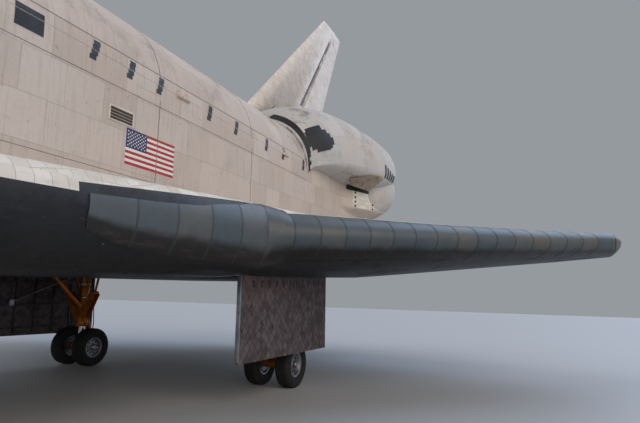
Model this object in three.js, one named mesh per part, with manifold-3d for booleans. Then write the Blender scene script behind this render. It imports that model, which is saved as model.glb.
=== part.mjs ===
// Space shuttle orbiter, parked on its landing gear with its doors shut.
// Shapes are worked out in inches on the drawing axes of such a vehicle: x to port, y the station,
// counted aft from ahead of the nose, and z the waterline. part() turns them into millimetres.
import * as THREE from 'three';
import { mergeVertices } from 'three/addons/utils/BufferGeometryUtils.js';
import Module from 'manifold-3d';

const wasm = await Module();
wasm.setup();

// Units and clearances
const INCH = 25.4;
const GAP = 0.013;
const SWING = 0.2;
const FACE = 0.02;
const PARKED_PITCH = THREE.MathUtils.degToRad(2.4);
const MIDDLE = new THREE.Vector3(0, 969, 400);

// Fuselage stations
const NOSE_END = 262;
const CABIN_FRONT = 404;
const CABIN_REAR = 574;
const BAY_FRONT = 582;
const BAY_REAR = 1307;
const BASE_STATION = 1528;
const BASE_WATERLINE = 283;
const BASE_SLOPE = 0.18;
const SKIN = 5;
const AFT_SKIN = 9;
const HULL_SIDES = 32;
const KNUCKLE_SIDES = 8;
const MID_DECK_FLOOR = 332;
const FLIGHT_DECK = 410;

// Payload bay and its doors
const BAY_RADIUS = 93;
const BAY_CENTRE = 400;
const SILL = 420;
const DOOR_THICKNESS = 6;
const DOOR_HINGE_PORT = 105.5;
const DOOR_HINGES = [650, 845, 1045, 1240];

// Wing
const WING_HINGE = 1387;
const WELL = { front: 1042, rear: 1220, inner: 111, outer: 168, top: 297 };
const NOSE_WELL = { front: 303, rear: 390, half: 22, top: 322 };

// Landing gear
const MAIN_GEAR = { station: 1172, port: 136, axle: 182, tyre: 22.25, width: 16, rim: 11, spread: 17.5 };
const NOSE_GEAR = { station: 378, port: 0, tyre: 16, width: 8.8, rim: 7.5, spread: 11 };
const WHEEL_SIDES = 20;
const WHEELBASE = MAIN_GEAR.station - NOSE_GEAR.station;
const TYRE_STEP = MAIN_GEAR.tyre - NOSE_GEAR.tyre;
NOSE_GEAR.axle = MAIN_GEAR.axle + (WHEELBASE * Math.sin(PARKED_PITCH) - TYRE_STEP) / Math.cos(PARKED_PITCH);

// Fin, rudder and body flap
const FIN_ROOT = { waterline: 503, front: 1289, rear: 1546.4 };
const FIN_TIP = { waterline: 818.7, front: 1604.7, rear: 1702.1 };
const RUDDER_CHORD = 0.58;
const RUDDER_FOOT = 581;
const RUDDER_HEAD = 782;
const RUDDER_ROOM = 0.95;
const FLAP = { station: 1537, waterline: 291, nose: 8, rear: 1613, half: 118, lugHalf: 1.5 };
FLAP.lugs = [-95, -45, 45, 95];

// Engines
const ENGINES = [
  { name: 'upper', station: 1445, port: 0, waterline: 443, up: 16, out: 0, opening: 38 },
  { name: 'left', station: 1468.2, port: 53, waterline: 342.6, up: 10, out: 3.5, opening: 36 },
  { name: 'right', station: 1468.2, port: -53, waterline: 342.6, up: 10, out: -3.5, opening: 36 },
];
const NOZZLE = { throat: 47, exit: 168, throatRadius: 8, exitRadius: 45.35, wall: 1.2 };
const ORBIT_ENGINE = { station: 1518, port: 88, waterline: 492, up: 15.8, out: 6.5 };
const ORBIT_NOZZLE = { throat: 18, exit: 77, throatRadius: 4, exitRadius: 21.5, wall: 0.8 };

// Fuselage sections: widest is the waterline of the greatest width, and the powers round the two halves
const HULL_COLUMNS = ['station', 'half', 'bottom', 'top', 'widest', 'lowerPower', 'upperPower'];
const HULL_TABLE = [
  [236, 5, 334, 344, 339, 2, 2],
  [238, 11, 328, 349.5, 339, 2, 2],
  [243, 19, 320.5, 356.5, 338.5, 2, 2],
  [251, 28, 312, 364.5, 338, 2, 2],
  [262, 36, 303, 373, 337, 2.1, 2],
  [280, 46, 293, 383, 336, 2.3, 2],
  [300, 54.5, 285.5, 392, 336, 2.5, 2],
  [330, 64.5, 279, 403, 337, 2.9, 2],
  [360, 73, 276, 413, 340, 3.4, 2],
  [400, 82, 273, 426, 348, 4.2, 2],
  [418, 86, 272.5, 432, 352, 4.5, 2.1],
  [440, 89, 272, 455, 360, 4.8, 2.2],
  [470, 93.5, 271, 484, 372, 5.2, 2.2],
  [500, 97, 270, 496, 384, 5.8, 2.1],
  [540, 101, 269, 500, 398, 7, 2.1],
  [582, 105, 268, 500, 410, 9, 2.1],
  [700, 105, 266, 500, 410, 14, 2.1],
  [1307, 105, 264, 500, 410, 16, 2.1],
  [1400, 108, 270, 503, 410, 14, 2.1],
  [1528, 118, 283, 507, 405, 9, 2.3],
].map((row) => Object.fromEntries(HULL_COLUMNS.map((name, i) => [name, row[i]])));

// Wing sections: edge and rear are the leading and trailing edges' stations, height the edge's waterline
const WING_COLUMNS = ['port', 'edge', 'height', 'thick', 'rear'];
const WING_TABLE = [
  [84, 446, 293, 50, 1508],
  [105, 478, 293, 52, 1506.6],
  [125, 568, 294, 54, 1503],
  [150, 726, 296, 56, 1498.6],
  [175, 884, 298, 58, 1494.2],
  [199, 1035, 299, 58, 1489.9],
  [240, 1076, 300, 53, 1482.6],
  [312.5, 1148.5, 302, 42, 1469.8],
  [400, 1236, 305.5, 31, 1454.3],
  [460.8, 1296.8, 309.5, 23, 1443.5],
  [468.3, 1316, 310.5, 10, 1436],
].map((row) => Object.fromEntries(WING_COLUMNS.map((name, i) => [name, row[i]])));

// Orbital engine pods: one rounded outline for each station, about its own centre
const POD_POWER = 2.25;
const POD_COLUMNS = ['station', 'port', 'waterline', 'half', 'above', 'below'];
const POD_TABLE = [
  [1307.2, 0, 412, 105.3, 88.4, 4],
  [1320, 20, 424, 92, 90, 8],
  [1345, 36, 434, 90, 93, 14],
  [1380, 50, 440, 88, 95, 20],
  [1420, 60, 444, 89, 93, 26],
  [1460, 68, 447, 91, 89, 30],
  [1500, 75, 449, 92, 82, 33],
  [1530, 80, 451, 91, 74, 34],
  [1550, 86, 453, 82, 64, 33],
  [1565, 94, 456, 66, 52, 30],
  [1574, 102, 460, 46, 38, 22],
].map((row) => Object.fromEntries(POD_COLUMNS.map((name, i) => [name, row[i]])));

const FINISHES = {
  blanket: { color: 0xd9cdbb, roughness: 0.85, metalness: 0 },
  blackTile: { color: 0x2f3034, roughness: 0.8, metalness: 0 },
  carbon: { color: 0x8d9491, roughness: 0.6, metalness: 0 },
  glass: { color: 0x1c2226, roughness: 0.05, metalness: 0 },
  nozzle: { color: 0x6b625a, roughness: 0.45, metalness: 0.8 },
  structure: { color: 0x8f9088, roughness: 0.5, metalness: 0.4 },
  goldStrut: { color: 0xc07a3a, roughness: 0.45, metalness: 0.3 },
  rubber: { color: 0x17181a, roughness: 0.9, metalness: 0 },
  wheelMetal: { color: 0xa8abad, roughness: 0.35, metalness: 0.9 },
};

const orbiter = new THREE.Group();
const airframe = new THREE.Group();
orbiter.add(airframe);

// Solids from three.js geometry, with equal corners merged and flat triangles left out
function solidOf(geometry) {
  const bare = geometry.clone();
  for (const name of Object.keys(bare.attributes)) {
    if (name !== 'position') bare.deleteAttribute(name);
  }
  const merged = mergeVertices(bare, 1e-4);
  const triangles = [];
  const index = merged.index.array;
  for (let i = 0; i < index.length; i += 3) {
    const [a, b, c] = [index[i], index[i + 1], index[i + 2]];
    if (a !== b && b !== c && c !== a) triangles.push(a, b, c);
  }
  const vertProperties = new Float32Array(merged.attributes.position.array);
  const mesh = new wasm.Mesh({ numProp: 3, vertProperties, triVerts: new Uint32Array(triangles) });
  mesh.merge();
  return new wasm.Manifold(mesh);
}

function geometryOf(solid) {
  const mesh = solid.getMesh();
  const geometry = new THREE.BufferGeometry();
  geometry.setAttribute('position', new THREE.BufferAttribute(new Float32Array(mesh.vertProperties), 3));
  geometry.setIndex(new THREE.BufferAttribute(new Uint32Array(mesh.triVerts), 1));
  return geometry;
}

const turned = (solid, matrix) => solidOf(geometryOf(solid).applyMatrix4(matrix));
const joined = (solids) => solids.reduce((whole, solid) => whole.add(solid));
const cutBy = (solid, cutters) => cutters.reduce((rest, cutter) => rest.subtract(cutter), solid);

// One named sub-part, in its own place in millimetres
function part(name, solid, finish) {
  const geometry = geometryOf(solid).translate(-MIDDLE.x, -MIDDLE.y, -MIDDLE.z).scale(INCH, INCH, INCH);
  geometry.computeBoundingBox();
  const centre = geometry.boundingBox.getCenter(new THREE.Vector3());
  geometry.translate(-centre.x, -centre.y, -centre.z);
  const mesh = new THREE.Mesh(geometry, new THREE.MeshStandardMaterial(FINISHES[finish]));
  mesh.name = name;
  mesh.position.copy(centre);
  airframe.add(mesh);
  return mesh;
}

// Basic shapes
const at = (station, port, waterline) => new THREE.Vector3(port, station, waterline);

function box(low, high) {
  const size = high.clone().sub(low);
  const centre = low.clone().add(high).multiplyScalar(0.5);
  return solidOf(new THREE.BoxGeometry(size.x, size.y, size.z).translate(centre.x, centre.y, centre.z));
}

function along(geometry, from, to) {
  const direction = to.clone().sub(from).normalize();
  const turn = new THREE.Quaternion().setFromUnitVectors(new THREE.Vector3(0, 1, 0), direction);
  const centre = from.clone().add(to).multiplyScalar(0.5);
  return solidOf(geometry.applyQuaternion(turn).translate(centre.x, centre.y, centre.z));
}

function rod(from, to, radius, endRadius = radius, sides = 12) {
  return along(new THREE.CylinderGeometry(endRadius, radius, from.distanceTo(to), sides), from, to);
}

function bar(from, to, width, height) {
  return along(new THREE.BoxGeometry(width, from.distanceTo(to), height), from, to);
}

function shapeOf(outline) {
  return new THREE.Shape(outline.map(([x, y]) => new THREE.Vector2(x, y)));
}

// Side outlines hold station and waterline, and plan outlines port and station
function sidePrism(outline, fromPort, toPort) {
  const depth = toPort - fromPort;
  const geometry = new THREE.ExtrudeGeometry(shapeOf(outline), { depth, bevelEnabled: false });
  const turn = new THREE.Matrix4().makeBasis(at(1, 0, 0), at(0, 0, 1), at(0, 1, 0));
  return solidOf(geometry.applyMatrix4(turn).translate(fromPort, 0, 0));
}

function planPrism(outline, fromWaterline, toWaterline) {
  const depth = toWaterline - fromWaterline;
  const geometry = new THREE.ExtrudeGeometry(shapeOf(outline), { depth, bevelEnabled: false });
  return solidOf(geometry.translate(0, 0, fromWaterline));
}

function lathe(profile, sides) {
  return solidOf(new THREE.LatheGeometry(profile.map(([r, y]) => new THREE.Vector2(r, y)), sides));
}

// A closed skin over rings of equal length, with a flat cap on each end
function loft(rings) {
  const count = rings[0].length;
  const positions = new Float32Array(rings.flat().flatMap((p) => [p.x, p.y, p.z]));
  const index = [];
  for (let r = 0; r < rings.length - 1; r++) {
    for (let i = 0; i < count; i++) {
      const a = r * count + i;
      const b = r * count + ((i + 1) % count);
      index.push(a, b, b + count, a, b + count, a + count);
    }
  }
  index.push(...cap(rings[0], 0, true), ...cap(rings.at(-1), (rings.length - 1) * count, false));
  if (volumeOf(positions, index) < 0) index.reverse();
  const geometry = new THREE.BufferGeometry();
  geometry.setAttribute('position', new THREE.BufferAttribute(positions, 3));
  geometry.setIndex(index);
  return solidOf(geometry);
}

function cap(ring, offset, first) {
  const normal = new THREE.Vector3();
  ring.forEach((p, i) => normal.add(p.clone().cross(ring[(i + 1) % ring.length])));
  const sizes = normal.toArray().map(Math.abs);
  const dropped = sizes.indexOf(Math.max(...sizes));
  const flat = ring.map((p) => new THREE.Vector2(...p.toArray().filter((_, i) => i !== dropped)));
  const area = THREE.ShapeUtils.area(flat);
  return THREE.ShapeUtils.triangulateShape(flat, []).flatMap((corners) => {
    const turn = THREE.ShapeUtils.area(corners.map((i) => flat[i])) * area > 0;
    const [a, b, c] = corners.map((i) => i + offset);
    return turn === first ? [a, c, b] : [a, b, c];
  });
}

function volumeOf(positions, index) {
  let volume = 0;
  const corner = (i) => new THREE.Vector3().fromArray(positions, 3 * index[i]);
  for (let i = 0; i < index.length; i += 3) volume += corner(i).dot(corner(i + 1).cross(corner(i + 2)));
  return volume;
}

function between(table, key, value) {
  const found = table.findIndex((row) => row[key] >= value);
  const next = found < 0 ? table.length - 1 : Math.max(1, found);
  const [low, high] = [table[next - 1], table[next]];
  const share = (value - low[key]) / (high[key] - low[key]);
  const columns = Object.keys(low).map((name) => [name, low[name] + share * (high[name] - low[name])]);
  return Object.fromEntries(columns);
}

function rounded(value, power) {
  return Math.abs(value) < 1e-9 ? 0 : Math.sign(value) * Math.abs(value) ** (2 / power);
}

// Fuselage skin
function hullPoint(station, angle, grow = 0) {
  const section = between(HULL_TABLE, 'station', station);
  const low = Math.sin(angle) < -1e-9;
  const power = low ? section.lowerPower : section.upperPower;
  const height = (low ? section.widest - section.bottom : section.top - section.widest) + grow;
  const across = (section.half + grow) * rounded(Math.cos(angle), power);
  return at(station, across, section.widest + height * rounded(Math.sin(angle), power));
}

function hull(from, to, grow = 0) {
  const inner = HULL_TABLE.map((row) => row.station).filter((station) => station > from && station < to);
  const steps = Array.from({ length: HULL_SIDES }, (_, i) => (2 * Math.PI * i) / HULL_SIDES);
  return loft([from, ...inner, to].map((station) => steps.map((angle) => hullPoint(station, angle, grow))));
}

// Coaxial hinge knuckles, flat face to flat face, with an arm from each to its own panel
function knuckles(axisFrom, axisTo, radius, fixedSpan) {
  const direction = axisTo.clone().sub(axisFrom).normalize();
  const length = axisFrom.distanceTo(axisTo);
  const spot = (distance) => axisFrom.clone().addScaledVector(direction, distance);
  const [from, to] = fixedSpan;
  const room = (radius + SWING) / Math.cos(Math.PI / KNUCKLE_SIDES);
  const piece = (start, end, size) => rod(spot(start), spot(end), size, size, KNUCKLE_SIDES);
  return {
    fixed: piece(from, to, radius),
    moving: piece(0, from - FACE, radius).add(piece(to + FACE, length, radius)),
    fixedRoom: piece(from - FACE, to + FACE, room),
    movingRoom: piece(-SWING, from - FACE, room).add(piece(to + FACE, length + SWING, room)),
  };
}

// Nose cap
part('nose_cap', hull(236, NOSE_END - GAP), 'carbon');

// Windows: station range and the angles round the fuselage, in degrees from the side up to the crown
const WINDOW_COLUMNS = ['name', 'front', 'rear', 'low', 'high'];
const WINDOWS = [
  ['windshield_front', 424, 463, 72, 87.5],
  ['windshield_middle', 427, 465, 52, 69.5],
  ['windshield_side', 434, 470, 35, 49.5],
  ['overhead_window', 512, 545, 75, 86.5],
].map((row) => Object.fromEntries(WINDOW_COLUMNS.map((name, i) => [name, row[i]])));

function windowOutline(window, side) {
  const corner = (station, degrees) => {
    const spot = hullPoint(station, THREE.MathUtils.degToRad(degrees));
    spot.x *= side;
    return spot;
  };
  return [
    corner(window.front, window.low), corner(window.front, window.high),
    corner(window.rear, window.high), corner(window.rear, window.low),
  ];
}

function windowSlab(outline, inset, from, to) {
  const centre = outline.reduce((sum, p) => sum.add(p), new THREE.Vector3());
  centre.multiplyScalar(1 / outline.length);
  const normal = outline[2].clone().sub(outline[0]).cross(outline[3].clone().sub(outline[1]));
  normal.normalize();
  if (normal.z < 0) normal.negate();
  const shrink = 1 - inset / centre.distanceTo(outline[0]);
  const flat = outline.map((p) => {
    const spot = centre.clone().addScaledVector(p.clone().sub(centre), shrink);
    return spot.addScaledVector(normal, -normal.dot(spot.clone().sub(centre)));
  });
  return loft([from, to].map((depth) => flat.map((p) => p.clone().addScaledVector(normal, depth))));
}

// Crew hatch on the port side, with its round window
const HATCH = { station: 498, waterline: 358, radius: 20, window: 5, hingeWaterline: 336.5 };
const HATCH_SIDE = between(HULL_TABLE, 'station', HATCH.station).half;
HATCH.hingePort = HATCH_SIDE + 2.2;

function hatchDisc(radius) {
  const inside = at(HATCH.station, HATCH_SIDE - 25, HATCH.waterline);
  const outside = at(HATCH.station, HATCH_SIDE + 25, HATCH.waterline);
  return rod(inside, outside, radius, radius, 24);
}

const hatchHinge = knuckles(
  at(HATCH.station - 7, HATCH.hingePort, HATCH.hingeWaterline),
  at(HATCH.station + 7, HATCH.hingePort, HATCH.hingeWaterline), 1.1, [4, 10],
);

function buildForwardFuselage() {
  const cabin = hull(CABIN_FRONT, CABIN_REAR, -SKIN)
    .intersect(box(at(CABIN_FRONT, -120, MID_DECK_FLOOR), at(CABIN_REAR, 120, 520)));
  const { front, rear, half, top } = NOSE_WELL;
  const well = box(at(front, -half, 200), at(rear, half, top));
  const openings = [cabin, well, hatchDisc(HATCH.radius + SWING), hatchHinge.movingRoom];
  for (const window of WINDOWS) {
    for (const side of [1, -1]) openings.push(windowSlab(windowOutline(window, side), 0, -9, 9));
  }
  for (const side of [1, -1]) {
    const middle = side * 14;
    openings.push(box(at(CABIN_REAR - 2, middle - 8, 452), at(BAY_FRONT + 2, middle + 8, 474)));
  }
  const ear = box(
    at(HATCH.station - 3 + FACE, HATCH_SIDE - 3, HATCH.hingeWaterline - 3),
    at(HATCH.station + 3 - FACE, HATCH.hingePort, HATCH.hingeWaterline),
  );
  const shell = cutBy(hull(NOSE_END, BAY_FRONT - GAP), openings);
  part('forward_fuselage', joined([shell, hatchHinge.fixed, ear]), 'blanket');
}

function buildHatch() {
  const shell = hull(470, 530).subtract(hull(469, 531, -SKIN));
  const disc = hatchDisc(HATCH.radius).intersect(shell);
  const portHalf = box(at(470, 40, 300), at(530, 130, 420));
  const arms = [-5.5, 5.5].flatMap((offset) => [
    box(
      at(HATCH.station + offset - 1.4, HATCH_SIDE + 1, HATCH.hingeWaterline),
      at(HATCH.station + offset + 1.4, HATCH.hingePort + 1, HATCH.hingeWaterline + 7),
    ),
    box(
      at(HATCH.station + offset - 1.4, HATCH_SIDE - 2.5, HATCH.hingeWaterline + 3),
      at(HATCH.station + offset + 1.4, HATCH.hingePort + 1, HATCH.hingeWaterline + 7),
    ),
  ]);
  const panel = joined([disc.intersect(portHalf), hatchHinge.moving, ...arms]);
  part('crew_hatch', panel.subtract(hatchDisc(HATCH.window)), 'blanket');
  const pane = rod(
    at(HATCH.station, HATCH_SIDE - 2.5, HATCH.waterline),
    at(HATCH.station, HATCH_SIDE - 1.5, HATCH.waterline), HATCH.window - GAP, HATCH.window - GAP, 24,
  );
  part('crew_hatch_window', pane, 'glass');
}

function buildWindows() {
  for (const window of WINDOWS) {
    for (const [side, word] of [[1, 'left'], [-1, 'right']]) {
      const pane = windowSlab(windowOutline(window, side), GAP * 1.5, -2, -1);
      part(`${window.name}_${word}`, pane, 'glass');
    }
  }
}

// Flight deck: floor, instrument panel and two seats as one piece
function buildFlightDeck() {
  const room = hull(CABIN_FRONT + GAP, CABIN_REAR - GAP, -SKIN - GAP);
  const floor = box(at(430, -100, FLIGHT_DECK - 4), at(CABIN_REAR - GAP, 100, FLIGHT_DECK));
  const well = box(at(530, 20, FLIGHT_DECK - 6), at(560, 48, FLIGHT_DECK + 2));
  const panel = box(at(432, -55, FLIGHT_DECK - 2), at(442, 55, FLIGHT_DECK + 26));
  const console = box(at(440, -8, FLIGHT_DECK - 1), at(490, 8, FLIGHT_DECK + 16));
  const seats = [1, -1].flatMap((side) => [
    box(at(468, side * 26 - 10, FLIGHT_DECK - 1), at(490, side * 26 + 10, FLIGHT_DECK + 17)),
    box(at(486, side * 26 - 10, FLIGHT_DECK - 1), at(492, side * 26 + 10, FLIGHT_DECK + 48)),
  ]);
  const deck = joined([floor.subtract(well), panel, console, ...seats]);
  part('flight_deck', deck.intersect(room), 'structure');
}

// Payload bay doors swing outboard on hinges along the sill
function doorHinge(station, side) {
  const port = side * DOOR_HINGE_PORT;
  return knuckles(at(station - 8, port, SILL), at(station + 8, port, SILL), 1.6, [5, 11]);
}

function buildMidFuselage() {
  const below = box(at(500, -130, 200), at(1400, 130, SILL - SWING / 2));
  const tray = hull(BAY_FRONT, BAY_REAR - GAP).intersect(below);
  const bay = rod(at(500, 0, BAY_CENTRE), at(1400, 0, BAY_CENTRE), BAY_RADIUS, BAY_RADIUS, 24)
    .add(box(at(500, -BAY_RADIUS, BAY_CENTRE), at(1400, BAY_RADIUS, SILL + 5)));
  let body = tray.subtract(bay);
  for (const station of DOOR_HINGES) {
    for (const side of [1, -1]) {
      const hinge = doorHinge(station, side);
      const inner = side * (DOOR_HINGE_PORT - 5);
      const outer = side * DOOR_HINGE_PORT;
      const ear = box(
        at(station - 3 + FACE, Math.min(inner, outer), SILL - 8),
        at(station + 3 - FACE, Math.max(inner, outer), SILL),
      );
      body = body.subtract(hinge.movingRoom).add(hinge.fixed).add(ear);
    }
  }
  part('mid_fuselage', body, 'blanket');
}

function buildBayDoors() {
  const shell = hull(BAY_FRONT + SWING, BAY_REAR - SWING).subtract(hull(500, 1400, -DOOR_THICKNESS));
  for (const [side, word] of [[1, 'left'], [-1, 'right']]) {
    const inner = side * SWING * 0.6;
    const outer = side * 130;
    const half = box(
      at(500, Math.min(inner, outer), SILL + SWING / 2), at(1400, Math.max(inner, outer), 520),
    );
    let door = shell.intersect(half);
    for (const station of DOOR_HINGES) {
      const hinge = doorHinge(station, side);
      const reach = side * (DOOR_HINGE_PORT - 5.5);
      const pivot = side * DOOR_HINGE_PORT;
      const arms = [-5.6, 5.6].map((offset) => box(
        at(station + offset - 1.8, Math.min(reach, pivot), SILL + 0.15),
        at(station + offset + 1.8, Math.max(reach, pivot), SILL + 5),
      ));
      door = joined([door.subtract(hinge.fixedRoom), hinge.moving, ...arms]);
    }
    part(`payload_bay_door_${word}`, door, 'blanket');
  }
}

// Aft fuselage: a shell round the engines, closed by a sloping base with three openings
const baseStation = (waterline) => BASE_STATION - (waterline - BASE_WATERLINE) * BASE_SLOPE;

function behindBase(offset) {
  return sidePrism([
    [baseStation(200) + offset, 200], [1800, 200], [1800, 600], [baseStation(600) + offset, 600],
  ], -200, 200);
}

// Shoulders under the pods: at each station the outer port, and the waterlines of the four corners
const SHOULDER_INNER = 98;
const SHOULDER_COLUMNS = ['station', 'outer', 'innerLow', 'outerLow', 'outerHigh', 'innerHigh'];
const SHOULDER_TABLE = [
  [1415, 107, 376, 384, 432, 440],
  [1470, 129, 368, 386, 434, 444],
  [1532, 151, 360, 386, 440, 452],
].map((row) => Object.fromEntries(SHOULDER_COLUMNS.map((name, i) => [name, row[i]])));

function shoulders(grow = 0) {
  const left = loft(SHOULDER_TABLE.map((row, i) => {
    const station = row.station + (i - 1) * grow;
    return [
      at(station, SHOULDER_INNER, row.innerLow - grow), at(station, row.outer + grow, row.outerLow - grow),
      at(station, row.outer + grow, row.outerHigh + grow), at(station, SHOULDER_INNER, row.innerHigh + grow),
    ];
  }));
  return [left, mirrored(left)];
}

function engineMatrix(engine) {
  const up = THREE.MathUtils.degToRad(engine.up);
  const out = THREE.MathUtils.degToRad(-engine.out);
  const matrix = new THREE.Matrix4().makeRotationZ(out).multiply(new THREE.Matrix4().makeRotationX(up));
  return matrix.setPosition(at(engine.station, engine.port, engine.waterline));
}

function buildAftFuselage() {
  const room = hull(1335, 1600, -AFT_SKIN).subtract(behindBase(-8));
  const holes = ENGINES.map((engine) => turned(
    rod(at(30, 0, 0), at(140, 0, 0), engine.opening, engine.opening, 20), engineMatrix(engine),
  ));
  const shell = cutBy(hull(BAY_REAR, 1540), [room, behindBase(0), ...holes]);
  const { station, waterline } = FLAP;
  const lugs = FLAP.lugs.flatMap((port) => {
    const [low, high] = [port - FLAP.lugHalf, port + FLAP.lugHalf];
    return [
      rod(at(station, low, waterline), at(station, high, waterline), 4.5),
      box(at(baseStation(300) - 5, low, waterline - 3), at(station, high, waterline + 3)),
    ];
  });
  const inside = hull(1335, 1600, -AFT_SKIN);
  const sides = shoulders().map((solid) => solid.subtract(inside));
  part('aft_fuselage', joined([shell, ...lugs, ...sides]), 'blanket');
}

// Gimbals: ears on the thrust structure hold a cross, and the cross holds ears on the engine
const EAR = { inner: 4, outer: 7, half: 3, reach: 3 };

function buildThrustStructure() {
  const plate = hull(1335, 1600, -AFT_SKIN - GAP * 2)
    .intersect(box(at(1420, -130, 200), at(1432, 130, 600)))
    .subtract(box(at(1400, -12, 374), at(1450, 12, 398)));
  const mounts = ENGINES.flatMap((engine) => {
    const back = 1424 - engine.station;
    const spine = rod(at(back, 0, 0), at(-8, 0, 0), 9, 9, 12);
    const ears = [1, -1].map((side) => {
      const inner = side * (EAR.inner + FACE);
      const outer = side * EAR.outer;
      return box(
        at(-10, -EAR.half, Math.min(inner, outer)), at(EAR.reach, EAR.half, Math.max(inner, outer)),
      );
    });
    return [spine, ...ears].map((solid) => turned(solid, engineMatrix(engine)));
  });
  part('thrust_structure', joined([plate, ...mounts]), 'structure');
}

function bellRadius(nozzle, distance) {
  const share = (distance - nozzle.throat) / (nozzle.exit - nozzle.throat);
  return nozzle.throatRadius + (nozzle.exitRadius - nozzle.throatRadius) * share ** 0.62;
}

function bell(nozzle, start, sides) {
  const shares = [0, 0.1, 0.3, 0.6, 1];
  const stops = shares.map((share) => nozzle.throat + share * (nozzle.exit - nozzle.throat));
  const outside = stops.map((stop) => [bellRadius(nozzle, stop), stop]);
  const inside = stops.map((stop) => [bellRadius(nozzle, stop) - nozzle.wall, stop]);
  const front = [[0, start], [nozzle.throatRadius + 2, start]];
  return lathe([...front, ...outside, ...inside.reverse(), [0, nozzle.throat]], sides);
}

function buildEngines() {
  for (const engine of ENGINES) {
    const matrix = engineMatrix(engine);
    const cross = rod(at(0, 0, -EAR.inner), at(0, 0, EAR.inner), 2.5, 2.5, 8)
      .add(rod(at(0, -EAR.inner, 0), at(0, EAR.inner, 0), 2.5, 2.5, 8));
    part(`gimbal_${engine.name}`, turned(cross, matrix), 'structure');
    const ears = [1, -1].map((side) => {
      const inner = side * (EAR.inner + FACE);
      const outer = side * EAR.outer;
      return box(
        at(-EAR.reach, Math.min(inner, outer), -EAR.half), at(10, Math.max(inner, outer), EAR.half),
      );
    });
    const powerhead = [
      rod(at(9, 0, 0), at(12, 0, 0), 8, 8, 12),
      rod(at(11, 0, 0), at(20, 0, 0), 12, 24, 12),
      rod(at(19.9, 0, 0), at(44, 0, 0), 24, 18, 12),
    ];
    const engineSolid = joined([...powerhead, ...ears, bell(NOZZLE, 42, 16)]);
    part(`main_engine_${engine.name}`, turned(engineSolid, matrix), 'nozzle');
  }
}

// Body flap under the engines
function buildBodyFlap() {
  const arc = Array.from({ length: 9 }, (_, i) => {
    const angle = Math.PI / 2 + (Math.PI * i) / 8;
    return [FLAP.station + FLAP.nose * Math.cos(angle), FLAP.waterline + FLAP.nose * Math.sin(angle)];
  });
  const outline = [...arc, [FLAP.rear, FLAP.waterline - 3], [FLAP.rear, FLAP.waterline - 1]];
  const { station, waterline } = FLAP;
  const slots = FLAP.lugs.flatMap((port) => {
    const [low, high] = [port - FLAP.lugHalf - FACE, port + FLAP.lugHalf + FACE];
    return [
      rod(at(station, low, waterline), at(station, high, waterline), 5),
      box(at(station - 10, low, waterline - 9), at(station, high, waterline + 9)),
    ];
  });
  part('body_flap', cutBy(sidePrism(outline, -FLAP.half, FLAP.half), slots), 'blackTile');
}

// Orbital engine pods
function podSolid(side) {
  const rings = POD_TABLE.map((row) => Array.from({ length: 24 }, (_, i) => {
    const angle = (2 * Math.PI * i) / 24;
    const height = Math.sin(angle) < 0 ? row.below : row.above;
    const port = side * (row.port + row.half * rounded(Math.cos(angle), POD_POWER));
    return at(row.station, port, row.waterline + height * rounded(Math.sin(angle), POD_POWER));
  }));
  const middle = planPrism([
    [-150, 1290], [14.5, 1290], [14.5, 1470], [62.5, 1492], [62.5, 1700], [-150, 1700],
  ].map(([port, station]) => [side * port, station]), 380, 560);
  return loft(rings).subtract(middle);
}

function buildPods() {
  const skin = hull(1300, 1528, GAP).subtract(behindBase(GAP));
  for (const [side, word] of [[1, 'left'], [-1, 'right']]) {
    const engine = { ...ORBIT_ENGINE, port: side * ORBIT_ENGINE.port, out: side * ORBIT_ENGINE.out };
    const matrix = engineMatrix(engine);
    const bay = turned(rod(at(0, 0, 0), at(90, 0, 0), 14, 24, 12), matrix);
    part(`orbital_pod_${word}`, cutBy(podSolid(side), [skin, bay, ...shoulders(GAP * 2)]), 'blanket');
    const body = joined([
      rod(at(GAP, 0, 0), at(20, 0, 0), 9, 6, 12), bell(ORBIT_NOZZLE, 16, 12),
    ]);
    part(`orbital_engine_${word}`, turned(body, matrix), 'nozzle');
  }
}

// Wings: each section runs from the leading edge to the hinge line and on to the trailing edge
const hingeWaterline = (port) => 284 + 0.062 * (port - 105);
const hingeRadius = (port) => 10.5 - 0.0124 * (port - 105);
const hingeSpot = (port) => at(WING_HINGE, port, hingeWaterline(port));

// Half thickness of a usual wing section for one of thickness 1, against the share of the chord
function airfoil(share) {
  const rest = -0.126 * share - 0.3516 * share ** 2 + 0.2843 * share ** 3 - 0.1015 * share ** 4;
  return 5 * (0.2969 * Math.sqrt(share) + rest);
}

function wingRing(section, grow) {
  const steps = 7;
  const upper = [];
  const lower = [];
  const radius = hingeRadius(section.port);
  const full = airfoil(0.77) * section.thick;
  for (let i = 1; i <= steps; i++) {
    const share = 1 - Math.cos((Math.PI * i) / (2 * steps));
    const station = section.edge + share * (WING_HINGE - section.edge);
    const middle = section.height + share * (hingeWaterline(section.port) - section.height);
    const half = airfoil(share * 0.77) * section.thick + share * (radius - full) + grow;
    upper.push(at(station, section.port, middle + half));
    lower.push(at(station, section.port, middle - half));
  }
  const tail = hingeWaterline(section.port) + 1.5;
  return [
    at(section.edge - grow, section.port, section.height),
    ...upper, at(section.rear + grow, section.port, tail + 0.8 + grow),
    at(section.rear + grow, section.port, tail - 0.8 - grow), ...lower.reverse(),
  ];
}

function wingSolid(grow = 0) {
  return loft(WING_TABLE.map((section) => wingRing(section, grow)));
}

// The grey leading edge panels lie ahead of this plan line of port and station
const EDGE_LINE = [[177, 948], [194, 1058], [215, 1074], [480, 1339]];

function edgePrism(back) {
  const rear = EDGE_LINE.map(([port, station]) => [port - back * 0.7, station + back]);
  return planPrism([...rear, [480, 900], [EDGE_LINE[0][0] - back, 700]], 240, 360);
}

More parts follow.
